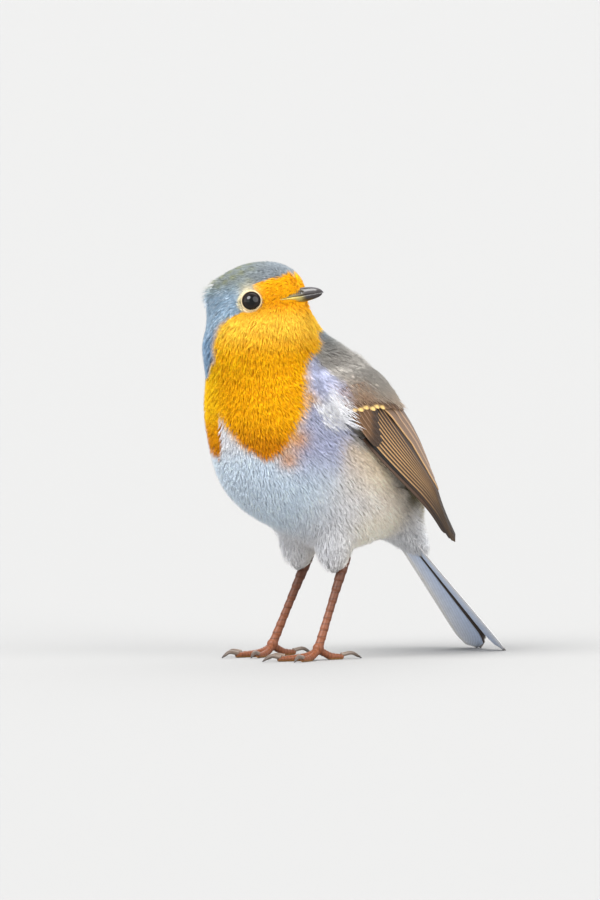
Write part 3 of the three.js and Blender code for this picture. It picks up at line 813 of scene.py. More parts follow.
def blunt_tip(s):
    """The width left where the wing's edge curves meet, in millimetres."""
    return 0.8 + 2.0 * smooth(0.76, 0.98, s)


def blade_thickness(s):
    """How thick the pile of feathers is at a share along the wing."""
    return 3.6 - 2.6 * s


def wing_surface(s, w, lift):
    """A point of the left wing at shares along and across it: between its lower and upper edge
    curves, bulged outwards by 4 camber w (1 - w) and lifted along the way out of the blade. The
    blunt tip turns its flat side outwards."""
    s, w = np.broadcast_arrays(np.asarray(s, float), np.asarray(w, float))
    square = np.minimum(s, WING_SQUARE)
    low, high = bezier(WING_LOWER, s), bezier(WING_UPPER, s)
    over = bezier(WING_UPPER, square) - bezier(WING_LOWER, square)
    ahead = bezier(WING_LOWER, square + 0.02) - bezier(WING_LOWER, square - 0.02)
    out = unit(np.cross(ahead, over))
    out = out * np.where(out[..., :1] < 0, -1, 1)
    camber = WING_CAMBER * np.minimum(1, np.linalg.norm(high - low, axis=-1) / 16)
    bulge = camber * 4 * w * (1 - w)
    facing_out = unit(np.cross([1.0, 0, 0], unit(ahead)))
    tip = mix(unit(over), facing_out, smooth(0.66, 0.94, s)) * (blunt_tip(s) * (w - 0.5))[..., None]
    return low + (high - low) * w[..., None] + tip + out * (bulge + lift)[..., None]


def wing_width(s):
    """The distance between the wing's edges at a share along it, with the blunt tip's own width."""
    return np.linalg.norm(bezier(WING_UPPER, s) - bezier(WING_LOWER, s), axis=-1) + blunt_tip(s)


def feather_material(name, roughness, barb_gap):
    """Satin vanes: the tone of each place with slanting barbs, fine bands across the vane's map
    that darken it a little and stand out from it."""
    material = soft_material(name, roughness, 0.05, 0.06, 900)
    nodes, links = material.node_tree.nodes, material.node_tree.links
    shader = nodes["Principled BSDF"]
    pairs = nodes.new("ShaderNodeUVMap")
    pairs.uv_map = "vane"
    bands = nodes.new("ShaderNodeTexWave")
    bands.wave_type = "BANDS"
    bands.bands_direction = "DIAGONAL"
    bands.inputs["Scale"].default_value = 0.63 / barb_gap
    bands.inputs["Distortion"].default_value = 1.5
    lines = nodes.new("ShaderNodeMix")
    lines.data_type = "RGBA"
    lines.blend_type = "MULTIPLY"
    lines.inputs["Factor"].default_value = 0.28
    links.new(shader.inputs["Base Color"].links[0].from_socket, lines.inputs["A"])
    links.new(bands.outputs["Fac"], lines.inputs["B"])
    links.new(lines.outputs["Result"], shader.inputs["Base Color"])
    bump = nodes.new("ShaderNodeBump")
    bump.inputs["Strength"].default_value = 0.25
    bump.inputs["Distance"].default_value = 0.0001
    links.new(pairs.outputs["UV"], bands.inputs["Vector"])
    links.new(bands.outputs["Fac"], bump.inputs["Height"])
    links.new(bump.outputs["Normal"], shader.inputs["Normal"])
    return material


def vane_shape(tip_from, blunt):
    """How a vane's edges close in at its end: 1 up to tip_from, then sqrt(1 - t^blunt)."""
    t = np.clip((VANE_ALONG - tip_from) / (1 - tip_from), 0, 1)
    return np.sqrt(np.maximum(1 - t**blunt, 0.0004))


def vane_on_wing(start, tip, low_mm, width, order, clear, tip_from=0.86, blunt=2.2, sunk=2.5):
    """The top surface of one wing feather, between shares start and tip of the wing's length.
    low_mm is its lower edge's distance from the wing's, in millimetres, or gives it at shares. It
    lies order layers up and stays clear of the body, except at its root, which is sunk in the
    plumage."""
    s = start + (tip - start) * VANE_ALONG
    across = wing_width(s)
    low = (low_mm(s) if callable(low_mm) else low_mm) / across
    wide = width * np.minimum(1, 0.55 + VANE_ALONG * 1.5) / across
    low = low + (np.minimum(low, 0.25) - low) * smooth(0.86, 1.0, s)
    wide = np.minimum(wide, 1.02 - low)
    middle = low + 0.42 * wide
    shut = vane_shape(tip_from, blunt)
    low_edge = middle + (low - middle) * shut
    high_edge = middle + (low + wide - middle) * shut
    w = low_edge[:, None] + (high_edge - low_edge)[:, None] * VANE_ACROSS
    lift = (blade_thickness(s) / 2)[:, None] * (-0.55 + 1.5 * order) + SHAFT_RISE
    points = wing_surface(s[:, None] + 0 * w, w, lift + 0 * w)
    root = (1 - smooth(0, 0.3, VANE_ALONG))[:, None]
    for _ in range(2):
        gap, out = plumage_gap(points, MASSES)
        short = np.maximum(clear - sunk * root - gap, 0)[..., None]
        points = points + out * short * (1 - smooth(0.5, 0.62, s))[:, None, None]
    return points


def vane_mm(tops, axis):
    """How far each place of a vane lies from its root (axis 1) or its lower edge (axis 2), in
    millimetres."""
    steps = np.linalg.norm(np.diff(tops, axis=axis), axis=-1)
    return np.concatenate([np.zeros_like(steps.take([0], axis)), np.cumsum(steps, axis)], axis)


def edge_tones(tops, vane, edge, edge_mm, dark, dark_from=0.55):
    """The vanes' tones: the edge colour along the lower margin, then the vane's own colour, which
    turns dark from that place across. Each colour is one for all or a row for each vane."""
    vane, edge, dark = (np.broadcast_to(c, (len(tops), 3))[:, None, None] for c in (vane, edge, dark))
    tone = mix(vane, dark, smooth(0.0, 1.0, VANE_ACROSS / dark_from))
    return mix(tone, edge, 1 - smooth(edge_mm * 0.75, edge_mm * 1.25, vane_mm(tops, 2)))


def vane_mesh(tops, thick, top_tones, under_tones, sign=1):
    """Closed thin vanes from their top surfaces (vane, station, place across, xyz): the underside
    is the top moved in along the surface's own normal. Gives points, faces, tones and the barbs'
    map, which is across and along in millimetres."""
    out = unit(np.cross(np.gradient(tops, axis=1), np.gradient(tops, axis=2)))
    rings = np.concatenate([tops, (tops - out * thick)[:, :, ::-1]], 2)
    points = rings.reshape(-1, 3) * [sign, 1, 1]
    faces = outward_faces(points, loft_faces(*rings.shape[:3]))
    tones = np.concatenate([top_tones, under_tones[:, :, ::-1]], 2).reshape(-1, 3)
    both = np.stack([vane_mm(tops, 2), vane_mm(tops, 1)], -1)
    return points, faces, tones, np.concatenate([both, both[:, :, ::-1]], 2).reshape(-1, 2)[faces]


def remex_low(low, power):
    """The lower edge of a flight feather: its distance shrinks as (width / middle width)^power."""
    return lambda s: low * (wing_width(s) / wing_width(0.4)) ** power


def tertial_low(step):
    """The lower edge of a tertial, a step up from the first one's."""
    return lambda s: np.interp(s, *TERTIAL_LOW) + step * (wing_width(s) / wing_width(0.3)) ** 0.6


n = np.arange(REMIGES)
draw_in = np.linspace(0.1, 1.0, REMIGES)  # how far each follows the wing as it narrows
remiges = np.stack([
    vane_on_wing(
        0.34 if i < 3 else 0.2, tip, remex_low(low, power), REMEX_WIDTH, 0.05 + 0.75 * i / REMIGES,
        0.3 + 0.07 * i, tip_from=0.955 if 0 < i < 4 else 0.92, sunk=1.5,
    )
    for i, low, tip, power in zip(n, REMEX_LOW, REMEX_TIP, draw_in)
])
upper_share = np.clip((n - 6) / 6, 0, 1)
vane_tone = np.repeat(WING_TINTS["vane"][None], REMIGES, 0)
gold_tone = mix(WING_TINTS["gold"], WING_TINTS["rim"], 0.7 * upper_share)
dark_tone = mix(WING_TINTS["dark"], WING_TINTS["vane"], 0.5 * upper_share)
# The lowest flight feather is all a lighter brown; the next is painted shadow, all near-black.
for lowest in (vane_tone, gold_tone, dark_tone):
    lowest[:2] = WING_TINTS["low"], WING_TINTS["gap"]
fringe = np.interp(n, [0, 6, 11], [0.5, 0.46, 0.26])[:, None, None]
remex_s = 0.22 + (np.array(REMEX_TIP) - 0.22)[:, None, None] * VANE_ALONG[:, None]
remex_tones = mix_over(
    edge_tones(remiges, vane_tone, gold_tone, fringe, dark_tone, 0.4), WING_TINTS,
    ("vane", (0.6 + 0.25 * upper_share)[:, None, None] * smooth(0.42, 0.74, remex_s)),
    ("tip", 0.85 * smooth(0.66, 0.86, remex_s)),
)
tertials = np.stack([
    vane_on_wing(0.12, tip, tertial_low(step), wide, 0.88 + 0.05 * i, 1.3 + 0.1 * i, tip_from=0.72)
    for i, (step, tip, wide) in enumerate(TERTIALS)
])
tertial_edges = np.stack([WING_TINTS[name] for name in ("gold", "pale", "pale")])
tertial_dark = mix(WING_TINTS["vane"], WING_TINTS["tertial"], 0.65)
tertial_tones = edge_tones(tertials, WING_TINTS["tertial"], tertial_edges, 0.7, tertial_dark, 0.8)

primary_coverts = np.stack([
    vane_on_wing(0.1, tip, low, COVERT_WIDTH, 0.95 + 0.03 * i, 0.9 + 0.06 * i, blunt=3)
    for i, (low, tip) in enumerate(PRIMARY_COVERTS)
])
covert_dark = mix(WING_TINTS["vane"], WING_TINTS["covert"], 0.5)
covert_tones = edge_tones(primary_coverts, WING_TINTS["covert"], WING_TINTS["rim"], 0.32, covert_dark, 0.8)
covert_tones = mix_over(covert_tones, WING_TINTS, ("dark", 0.75 * smooth(0.74, 0.9, VANE_ALONG)[:, None]))

greater_low = np.linspace(0.0, 24.0, GREATER_COVERTS)
greater_tip = 0.217 + 0.0024 * greater_low + 0.005 * np.sin(2.6 * np.arange(GREATER_COVERTS))
greater_coverts = np.stack([
    vane_on_wing(
        0.1, tip, low, GREATER_WIDTH, 1.12 + 0.015 * i, 1.3 + 0.03 * i, tip_from=0.82, blunt=2.6,
    )
    for i, (low, tip) in enumerate(zip(greater_low, greater_tip))
])
greater_dark = mix(WING_TINTS["vane"], WING_TINTS["covert"], 0.3)
greater_tones = edge_tones(greater_coverts, WING_TINTS["covert"], WING_TINTS["rim"], 0.45, greater_dark, 0.8)
spotted = (greater_low < SPOTTED_BELOW)[:, None, None] * np.exp(-(((VANE_ACROSS - 0.3) / 0.34) ** 2))
greater_tones = mix_over(greater_tones, WING_TINTS, ("spot", spotted * smooth(0.8, 0.9, VANE_ALONG)[:, None]))

core_s, core_w = np.meshgrid(np.linspace(0.3, 0.9, 40), np.linspace(0.07, 0.93, 16), indexing="ij")
core_sunk = 0.3 * blade_thickness(core_s) + 4 * (1 - smooth(0.22, 0.42, core_s))
core_top = wing_surface(core_s, core_w, -core_sunk)[None]
core_tones = np.broadcast_to(WING_TINTS["under"], core_top.shape)

vane_finish = feather_material("vane_finish", 0.5, 0.7)
wing_parts = {  # top surfaces, tones, thickness
    "blade": (core_top, core_tones, 0.5),
    "flight": (remiges, remex_tones, 0.16),
    "tertials": (tertials, tertial_tones, 0.18),
    "primary_coverts": (primary_coverts, covert_tones, 0.18),
    "greater_coverts": (greater_coverts, greater_tones, 0.18),
}
for side, sign in (("left", 1), ("right", -1)):
    for name, (tops, tones, thick) in wing_parts.items():
        points, faces, shades, pairs = vane_mesh(tops, thick, tones, tones * 0.8, sign)
        nodes = (f"wing_{side}",) if name == "blade" else ()
        make_piece(
            f"wing_{side}_{name}", points, faces, vane_finish, nodes, shades,
            {"vane": pairs},
        )


# ---- shoulder feathers -----------------------------------------------------
# Soft feathers from the shoulder and the breast's side lie over the folded wing's front third
# and end in an even row above its pale spots.
SHOULDER_TUFTS = 480
SHOULDER_STATIONS, SHOULDER_WIDTH, SHOULDER_STREAK = 3, 0.32, 0.2
WING_LENGTH = 76.0
ROOT_SUNK = 1.6  # how far below the blade's top the feathers start
SHOULDER_TINT = tint(178, 141, 111)
root_share, shoulder_w = even_pairs(SHOULDER_TUFTS)
shoulder_w = -0.24 + 1.32 * shoulder_w
on_breast = 1 - smooth(-0.06, 0.05, shoulder_w)
covert_row = 0.2 + 0.06 * shoulder_w + 0.03 * smooth(0.5, 0.9, shoulder_w) + 0.115 * on_breast
shoulder_length = np.interp(root_share, [0, 0.5, 1], [6.5, 8.0, 6.0])
shoulder_s = -0.03 + (covert_row - shoulder_length / WING_LENGTH + 0.03) * root_share
which = np.repeat(np.arange(SHOULDER_TUFTS), BARBS)
across = np.tile((np.arange(BARBS) + 0.5) / BARBS - 0.5, SHOULDER_TUFTS) + chance.normal(0, 0.12, len(which))
barb_length = shoulder_length[which] * (1 - 1.2 * across**2) * np.exp(chance.normal(0, 0.1, len(which)))
heading = chance.normal(0, 0.08, SHOULDER_TUFTS)[which] + 0.45 * across + chance.normal(0, 0.05, len(which))
tip_height = 0.75 + np.abs(chance.normal(0, 0.2, len(which))) + chance.normal(0, 0.1, SHOULDER_TUFTS)[which]
tip_height = tip_height * (0.4 + 0.6 * smooth(0.0, 0.1, shoulder_s))[which]
centres = []
for k in range(SHOULDER_STATIONS + 1):
    t = k / SHOULDER_STATIONS
    s = shoulder_s[which] + barb_length * t / WING_LENGTH
    w = shoulder_w[which] + (across * 1.6 + heading * barb_length * t) / wing_width(np.clip(s, 0.12, 1))
    height = -ROOT_SUNK + (tip_height + ROOT_SUNK) * t**0.7
    place = wing_surface(s, w, blade_thickness(s) / 2 * 1.05 + height)
    on_wing = smooth(-0.02, 0.1, s) * smooth(-0.12, 0.0, w)
    goal = 1.5 * on_wing + 0.1 + height - (1 - on_wing) * 0.6 * tip_height * t
    for _ in range(3):
        gap, out = plumage_gap(place, MASSES)
        short = goal - gap
        place = place + out * np.where(short > 0, short, (1 - on_wing) * short)[:, None]
    centres.append(place)
centres = np.stack(centres, 1)
on_shoulder = smooth(-0.06, 0.04, shoulder_w) * (1 - smooth(0.25, 0.6, shoulder_w))
browner = 0.8 * on_shoulder * smooth(-0.03, 0.13, shoulder_s)
whiter = (1 - smooth(-0.04, 0.05, shoulder_w)) * smooth(0.02, 0.1, shoulder_s)
# Painted shade: tufts rooted on the upper front of the wing are made a fifth darker, to dull the light their
# raised tips catch.
darker = 0.2 * smooth(0.3, 0.5, shoulder_w) * (1 - smooth(0.02, 0.1, shoulder_s))
shoulder_marks = mix(marking(centres[:, SHOULDER_STATIONS // 2]), SHOULDER_TINT, browner[which])
shoulder_marks = mix(shoulder_marks, BODY_TINTS["fluff"], whiter[which]) * (1 - darker[which])[:, None]
ahead = unit(np.gradient(centres, axis=1))
outs = np.stack([plumage_gap(centres[:, k], MASSES)[1] for k in range(SHOULDER_STATIONS + 1)], 1)
sides = unit(np.cross(outs, ahead))
outs = np.cross(ahead, sides)
skin_flat = skin_grid.reshape(-1, 3)
skin_pairs = np.stack([skin_turn, skin_along * THIGH_BAND], -1).reshape(-1, 2)
shoulder_root = wing_surface(shoulder_s, shoulder_w, 0 * shoulder_s)
nearest = np.argmin(((shoulder_root[:, None] - skin_flat[None, ::3]) ** 2).sum(-1), 1) * 3
full = np.ones(SHOULDER_TUFTS)
for side, sign in (("left", 1), ("right", -1)):
    pair = skin_pairs[nearest] if sign > 0 else skin_pairs[nearest] * [-1, 1] + [1, 0]
    points, faces, tones, pairs = barb_mesh(
        centres, sides, outs, SHOULDER_WIDTH * full, SHOULDER_STREAK * full, which, across, pair,
        shoulder_marks,
    )
    make_piece(
        f"coat_shoulder_{side}", points * [sign, 1, 1], faces[:, ::sign], plumage,
        tones=tones, maps={"OFBake": pairs[:, ::sign]},
    )


# ---- tail ------------------------------------------------------------------
# Twelve stiff feathers in a shallow roof, the middle pair on top and the outer ones below. They
# grow out of the rump's end, and their tips rest on the floor.
TAIL_ROOT, TAIL_LENGTH, TAIL_FALL, TAIL_ROOF = (0, 27, 45), 62, math.radians(46.8), 0.2
TAIL_HALF = (4.2, 10.5)  # half its width at the root and at the tip
TAIL_FORK, TAIL_CORNER, TAIL_THICK, VANE_THICK = 2.5, 4.0, 1.3, 0.16
# The sheen tint is a painted reflection, the sky's blue on the outer feathers' undersides. The dark tint,
# where it lies under the inner feathers, is painted shade.
TAIL_TINTS = named_tints(
    top=(124, 106, 90), under=(226, 230, 238), sheen=(200, 214, 240), edge=(232, 230, 230), dark=(84, 74, 68),
)
TAIL_ALONG = np.array([0, math.cos(TAIL_FALL), -math.sin(TAIL_FALL)])
TAIL_UP = np.array([0, math.sin(TAIL_FALL), math.cos(TAIL_FALL)])
TAIL_INNER = (-0.12, -0.08, -0.02, 0.04, 0.08, 0.13)  # where each pair's inner edge runs


def tail_surface(s, w, lift):
    """A point of the tail at shares along and across (-1 to 1): across the half width, with the
    sides falling by roof |w|^1.4, and lifted square to it. It never goes under the floor."""
    s, w = np.broadcast_arrays(np.asarray(s, float), np.asarray(w, float))
    half = TAIL_HALF[0] + (TAIL_HALF[1] - TAIL_HALF[0]) * (0.65 * s + 0.35 * smooth(0, 1, s))
    short = TAIL_FORK * (1 - np.abs(w)) + TAIL_CORNER * np.abs(w) ** 5
    point = np.asarray(TAIL_ROOT, float) + TAIL_ALONG * (s * (TAIL_LENGTH - short))[..., None]
    point = point + TAIL_UP * (lift - TAIL_ROOF * half * np.abs(w) ** 1.4)[..., None]
    point[..., 0] += w * half
    point[..., 2] = np.maximum(point[..., 2], 0.02)
    return point


def vane_on_tail(k, side):
    """The top surface of a tail feather, the k-th pair from the middle: its outer edge shows beyond
    its inner neighbour, below which it lies, and its inner web reaches far in under the others."""
    s = 0.04 + (0.962 - 0.014 * max(4 - k, 0)) * VANE_ALONG
    outer = (k + 1) / 6 * (0.8 + 0.2 * VANE_ALONG)
    inner = TAIL_INNER[k] * (0.6 + 0.4 * VANE_ALONG)
    shut = vane_shape(0.88, 2.6)[:, None]
    middle = inner + 0.62 * (outer - inner)
    place = middle[:, None] + shut * ((outer - middle)[:, None] + (inner - outer)[:, None] * VANE_ACROSS)
    lift = TAIL_THICK * (0.42 - 0.17 * k) + SHAFT_RISE
    fray = 0.006 * np.sin(VANE_ACROSS * 39 + 5 * k) * smooth(0.93, 1.0, VANE_ALONG)[:, None]
    return tail_surface(s[:, None] + fray, side * place, lift + 0 * place)


def join_parts(parts):
    """Points and faces of several closed bodies as one mesh."""
    starts = np.cumsum([0] + [len(p) for p, _ in parts[:-1]])
    return np.concatenate([p for p, _ in parts]), np.concatenate([f + s for (_, f), s in zip(parts, starts)])


outermost = np.arange(6)[:, None] == 5
tail_edge = np.where(outermost, TAIL_TINTS["edge"], mix(TAIL_TINTS["edge"], TAIL_TINTS["top"], 0.6))
tail_dark = mix(TAIL_TINTS["top"], TAIL_TINTS["dark"], 0.3)
# Painted shade: every feather's underside but the outermost pair's takes the dark tint, seen along the tail's
# middle.
under_vane = np.where(outermost, TAIL_TINTS["under"], TAIL_TINTS["dark"])
# Painted reflection: the outermost pair's inner webs below take the sky's blue sheen.
under_inner = np.where(outermost, TAIL_TINTS["sheen"], TAIL_TINTS["dark"])
frayed = 0.7 * smooth(0.965, 0.99, VANE_ALONG)[:, None]
halves = []
for side in (1, -1):
    tops = np.stack([vane_on_tail(k, side) for k in range(6)])
    top_tones = edge_tones(tops, TAIL_TINTS["top"], tail_edge, 0.45, tail_dark, 0.8)
    under_tones = edge_tones(tops, under_vane, TAIL_TINTS["edge"], 1.3, under_inner, 0.9)
    under_tones = mix(under_tones, TAIL_TINTS["edge"], frayed)
    halves.append(vane_mesh(tops, VANE_THICK * side, top_tones, under_tones))
tail_points, tail_faces = join_parts([half[:2] for half in halves])
tail_points[:, 2] = np.maximum(tail_points[:, 2], 0.01)
tail_tones, tail_pairs = (np.concatenate([half[k] for half in halves]) for k in (2, 3))
make_piece(
    "tail_feathers", tail_points, tail_faces, vane_finish, ("tail",),
    tones=tail_tones, maps={"vane": tail_pairs},
)


# ---- eyes ------------------------------------------------------------------
# Round dark eyes, wet and almost black, sunk in the sides of the head. Each sits in a thin lid of
# bare skin, dark at its edge and pale outside.
EYE_RADIUS = 3.0
EYE_ROWS, EYE_ROUND = 60, 64
LID_ROUND, LID_SECTION = 72, 10
LID_ANGLE = math.radians(60)  # how far from the eye's front the lid lies
LID_WIDE, LID_HIGH = 0.24, 0.30  # half the lid's thickness, across and outwards
PUPIL, IRIS = tint(3, 3, 4), tint(26, 17, 12)
LID_DARK, LID_PALE, LID_BACK = tint(40, 32, 26), tint(226, 202, 156), tint(138, 146, 150)


def gloss_material(name, roughness, coat):
    """A hard, polished surface that shows the tone of each place."""
    material, tone, shader = toned_material(name, roughness, 0.3)
    material.node_tree.links.new(tone.outputs["Color"], shader.inputs["Base Color"])
    shader.inputs["Coat Weight"].default_value = coat
    shader.inputs["Coat Roughness"].default_value = 0.02
    return material


def circle(axis, around):
    """Ways square to an axis, all round it: side cos b + other sin b."""
    side = unit(np.cross(axis, [0.3, 0.1, 1]))
    b = np.arange(around)[:, None] / around * 2 * math.pi
    return side * np.cos(b) + np.cross(axis, side) * np.sin(b)


def ball(centre, radius, axis, rows, around):
    """A sphere with its pole on an axis: centre + r (axis cos a + circle sin a). Gives points in
    rings from pole to pole, the poles closed by tiny fans, its faces, and each ring's a."""
    a = np.linspace(0.004, math.pi - 0.004, rows)
    rings = axis * np.cos(a)[:, None, None] + circle(axis, around) * np.sin(a)[:, None, None]
    points = (np.asarray(centre) + radius * rings).reshape(-1, 3)
    return points, outward_faces(points, loft_faces(1, rows, around)), a


wet_eye = gloss_material("wet_eye", 0.03, 0.0)
lid_finish = soft_material("lid_finish", 0.45, 0.0, 0.1, 2500)
i, j = np.meshgrid(np.arange(LID_ROUND), np.arange(LID_SECTION), indexing="ij")
here, there, beside = i * LID_SECTION, (i + 1) % LID_ROUND * LID_SECTION, (j + 1) % LID_SECTION
lid_faces = [here + j, there + j, there + beside, here + j, there + beside, here + beside]
lid_faces = np.stack(lid_faces, -1).reshape(-1, 3)
section = np.arange(LID_SECTION) / LID_SECTION * 2 * math.pi
lid_far = EYE_RADIUS * math.sin(LID_ANGLE) + 0.1 + LID_WIDE * np.cos(section)
lid_height = EYE_RADIUS * math.cos(LID_ANGLE) + 0.02 + LID_HIGH * np.sin(section)
lid_tones = np.tile(mix(LID_DARK, LID_PALE, smooth(0.05, 0.6, np.cos(section))), (LID_ROUND, 1))
for side, centre in EYES.items():
    outward = unit(plumage_gap(centre, MASSES)[1] + on_head(0.2, 0, -0.26) - HEAD_CENTRE)
    points, faces, angle = ball(centre, EYE_RADIUS, outward, EYE_ROWS, EYE_ROUND)
    tones = mix(PUPIL, IRIS, smooth(0.5, 0.56, angle) * (1 - 0.7 * smooth(0.75, 0.95, angle)))
    tones = mix(mix(tones, LID_PALE, smooth(1.08, 1.14, angle)), LID_BACK, smooth(1.22, 1.5, angle))
    make_piece(
        f"eye_{side}", points, faces, wet_eye, (f"eye_{side}",), np.repeat(tones, EYE_ROUND, 0),
    )
    lid = centre + circle(outward, LID_ROUND)[:, None] * lid_far[:, None] + outward * lid_height[:, None]
    points = lid.reshape(-1, 3)
    make_piece(
        f"eye_lid_{side}", points, outward_faces(points, lid_faces), lid_finish, tones=lid_tones,
    )


# ---- bill ------------------------------------------------------------------
# A slim bill of dark horn in two halves, with a ridge along the top, slit nostrils near its
# root and a yellowish corner to the mouth. Its root goes into the face's feathers. The top of the
# upper half is lighter, a painted highlight, and the nostril slits are near-black, a painted shade.
BILL_FROM, BILL_UP, BILL_HALF_WIDTH, BILL_DROOP = 10.6, 0.1, 2.6, 0.35
BILL = {"upper": (1, 11.0, 2.5), "lower": (-1, 10.6, 1.7)}  # way it faces, length, depth
GAPE = 10.9  # how far forward the corner of the mouth lies
MOUTH_END = 16.2  # how far forward the thin rim that follows the face reaches
NOSTRIL = 15.2
BILL_AROUND = 40
# The ridge tone is a painted highlight along the upper half's top; the slit tone is painted shade in the
# nostrils.
HORN_DARK, HORN_PALE, HORN_RIDGE_HIGHLIGHT, NOSTRIL_SHADE = (
    tint(50, 46, 46), tint(206, 186, 96), tint(96, 94, 98), tint(10, 9, 8)
)
horn = gloss_material("horn", 0.28, 0.25)


def face_edge_at(forward, up):
    """How far out to the right the plumage ends, so far forward and so high, by steps inwards."""
    out = np.full(forward.shape, 11.0)
    for _ in range(80):
        out = np.maximum(out - 0.5 * plumage_gap(on_head(forward, out, up), MASSES)[0], 0)
    return out


for half, (facing, long, depth) in BILL.items():
    on_top = facing > 0
    at_mouth, at_tip = np.linspace(GAPE - 0.8, MOUTH_END, 40), np.linspace(16.35, BILL_FROM + long, 50)
    forward = np.concatenate([at_mouth, at_tip])
    s = np.clip((forward - BILL_FROM) / long, 0, 1)
    close = np.maximum(1 - s**3.4, 0.0012) ** 0.55
    seam = BILL_UP - BILL_DROOP * (long * s / BILL["upper"][1]) ** 3
    own = BILL_HALF_WIDTH * (0.14 + 0.86 * (1 - s**1.3)) * np.minimum(close * 1.6, 1)
    mouth = (face_edge_at(forward, seam - 0.4) + 0.22) * smooth(GAPE - 0.8, GAPE + 0.3, forward)
    wide = np.logaddexp(own * 4, mouth * (forward < MOUTH_END) * 4) / 4
    at_root = smooth(GAPE, NOSTRIL, forward)
    deep = depth * close * (0.12 + 0.88 * at_root if on_top else 0.34 + 0.66 * at_root)
    angle = np.arange(BILL_AROUND) / BILL_AROUND * 2 * math.pi
    rise = np.maximum(facing * np.sin(angle), 0)
    slit = np.exp(-(((forward[:, None] - NOSTRIL) / 0.75) ** 2) - ((rise - 0.45) / 0.15) ** 2) * on_top
    right = wide[:, None] * np.sign(np.cos(angle)) * np.abs(np.cos(angle)) ** 0.9 * (1 - 0.2 * slit)
    up = (seam + facing * 0.04)[:, None] + facing * deep[:, None] * rise ** (0.95 if on_top else 0.85)
    points = on_head(forward[:, None] + 0 * right, right, up).reshape(-1, 3)
    yellow = (1 - smooth(13.2, 17.0, forward))[:, None] * (1 - 0.4 * rise) * (0.2 if on_top else 0.95)
    # Painted shade: the nostril slits near-black, for the shade in their openings.
    tones = mix(mix(HORN_DARK, HORN_PALE, yellow), NOSTRIL_SHADE, np.minimum(slit * 1.3, 1))
    # Painted highlight: the upper half lighter along the top of its ridge.
    tones = mix(tones, HORN_RIDGE_HIGHLIGHT, 0.5 * smooth(0.75, 1, rise) * on_top)
    faces = outward_faces(points, loft_faces(1, len(forward), BILL_AROUND))
    make_piece(f"bill_{half}", points, faces, horn, (f"bill_{half}",), tones.reshape(-1, 3))


# ---- legs and feet ---------------------------------------------------------
# Slender legs and toes under one scaly skin, reddish brown with yellower soles. The legs come out
# of the thighs' feathers, and the toes stand flat on the floor.
HEEL, ANKLE = np.array([9.2, 9, 27.6]), np.array([11.4, -1.6, 3.4])
SHANK_RADII, TOE_SINK, TOE_TAPER = (1.2, 1.55, 1.15, 1.3), 0.14, 0.85
SHANK_SCALES, SCALE_DEPTH = 14, 0.13  # depth as a share of the radius
SCALE_ON_SHANK, SCALE_ON_TOE = 1.75, 1.1  # how far apart the scales' seams stand
HUB_RADIUS, HUB_ROWS, HUB_ROUND = 1.65, 14, 20  # the ankle's knob, where the toes meet
LEG_VOXEL = 0.14  # how finely shank and toes are run together
TOES = {  # splay in degrees from straight ahead, length of toe and claw, radius
    "inner": (26, 9.6, 4.4, 0.95),
    "middle": (-4, 13.4, 5.2, 1.0),
    "outer": (-30, 10.2, 4.4, 0.95),
    "hind": (176, 8.2, 6.2, 1.05),
}
LEG_TINTS = named_tints(low=(116, 69, 46), high=(86, 53, 38), seam=(62, 36, 26), sole=(150, 108, 58))
leg_skin = soft_material("leg_skin", 0.42, 0.0, 0.12, 900)


def on_toe(name, reach, height):
    """A point of the foot so far from the ankle in the toe's direction, and so high."""
    turn = math.radians(TOES[name][0])
    return [ANKLE[0] + math.sin(turn) * reach, ANKLE[1] - math.cos(turn) * reach, height]


def scaly_tube(points, radii, count, around, scales):
    """A closed tube through points, as points and faces. Each scale swells from its start to its
    end: with t the part of the scale past, the radius is r (1 + depth (t - 1/2))."""
    t = np.linspace(0, 1, count) * scales
    thickness = smooth_run(radii, count) * (1 + SCALE_DEPTH * (t % 1 - 0.5))
    made = sweep(smooth_run(points, count), thickness, around).reshape(-1, 3)
    return made, outward_faces(made, loft_faces(1, count, around))


def foot_parts():
    """The shank, the ankle and the four toes of the left leg."""
    shank = [HEEL + [0, 0.4, 1.4], HEEL, (HEEL + ANKLE) / 2, ANKLE]
    parts = [scaly_tube(shank, SHANK_RADII, 90, 18, SHANK_SCALES)]
    for name, (_, toe, _, radius) in TOES.items():
        low = radius * (1 - TOE_SINK)
        path = [
            ANKLE - [0, 0, 0.4], on_toe(name, 2.6, low + 0.75), on_toe(name, toe * 0.55, low),
            on_toe(name, toe, low * TOE_TAPER),
        ]
        radii = radius * np.array([1.1, 0.98, 1, 0.66])
        parts.append(scaly_tube(path, radii, 60, 16, round(toe)))
    parts.append(ball(ANKLE, HUB_RADIUS, (0, 0, 1), HUB_ROWS, HUB_ROUND)[:2])
    return parts


def leg_tones(place):
    """Reddish brown, darker upwards, with a dark seam under each scale of shank and toes and a
    yellowish sole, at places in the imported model's millimetres."""
    x, y, z = np.abs(place[:, 0]), place[:, 1], place[:, 2]
    along_toe = np.hypot(x - ANKLE[0], y - ANKLE[1])
    scale = np.where(z > ANKLE[2] + 1, z / SCALE_ON_SHANK, along_toe / SCALE_ON_TOE) % 1
    return mix_over(
        np.broadcast_to(LEG_TINTS["low"], place.shape), LEG_TINTS,
        ("high", smooth(4, 24, z)),
        ("seam", 0.6 * smooth(0.74, 0.9, scale) * (1 - smooth(0.94, 1.0, scale))),
        ("sole", 1 - smooth(0.05, 0.7, z)),
    )


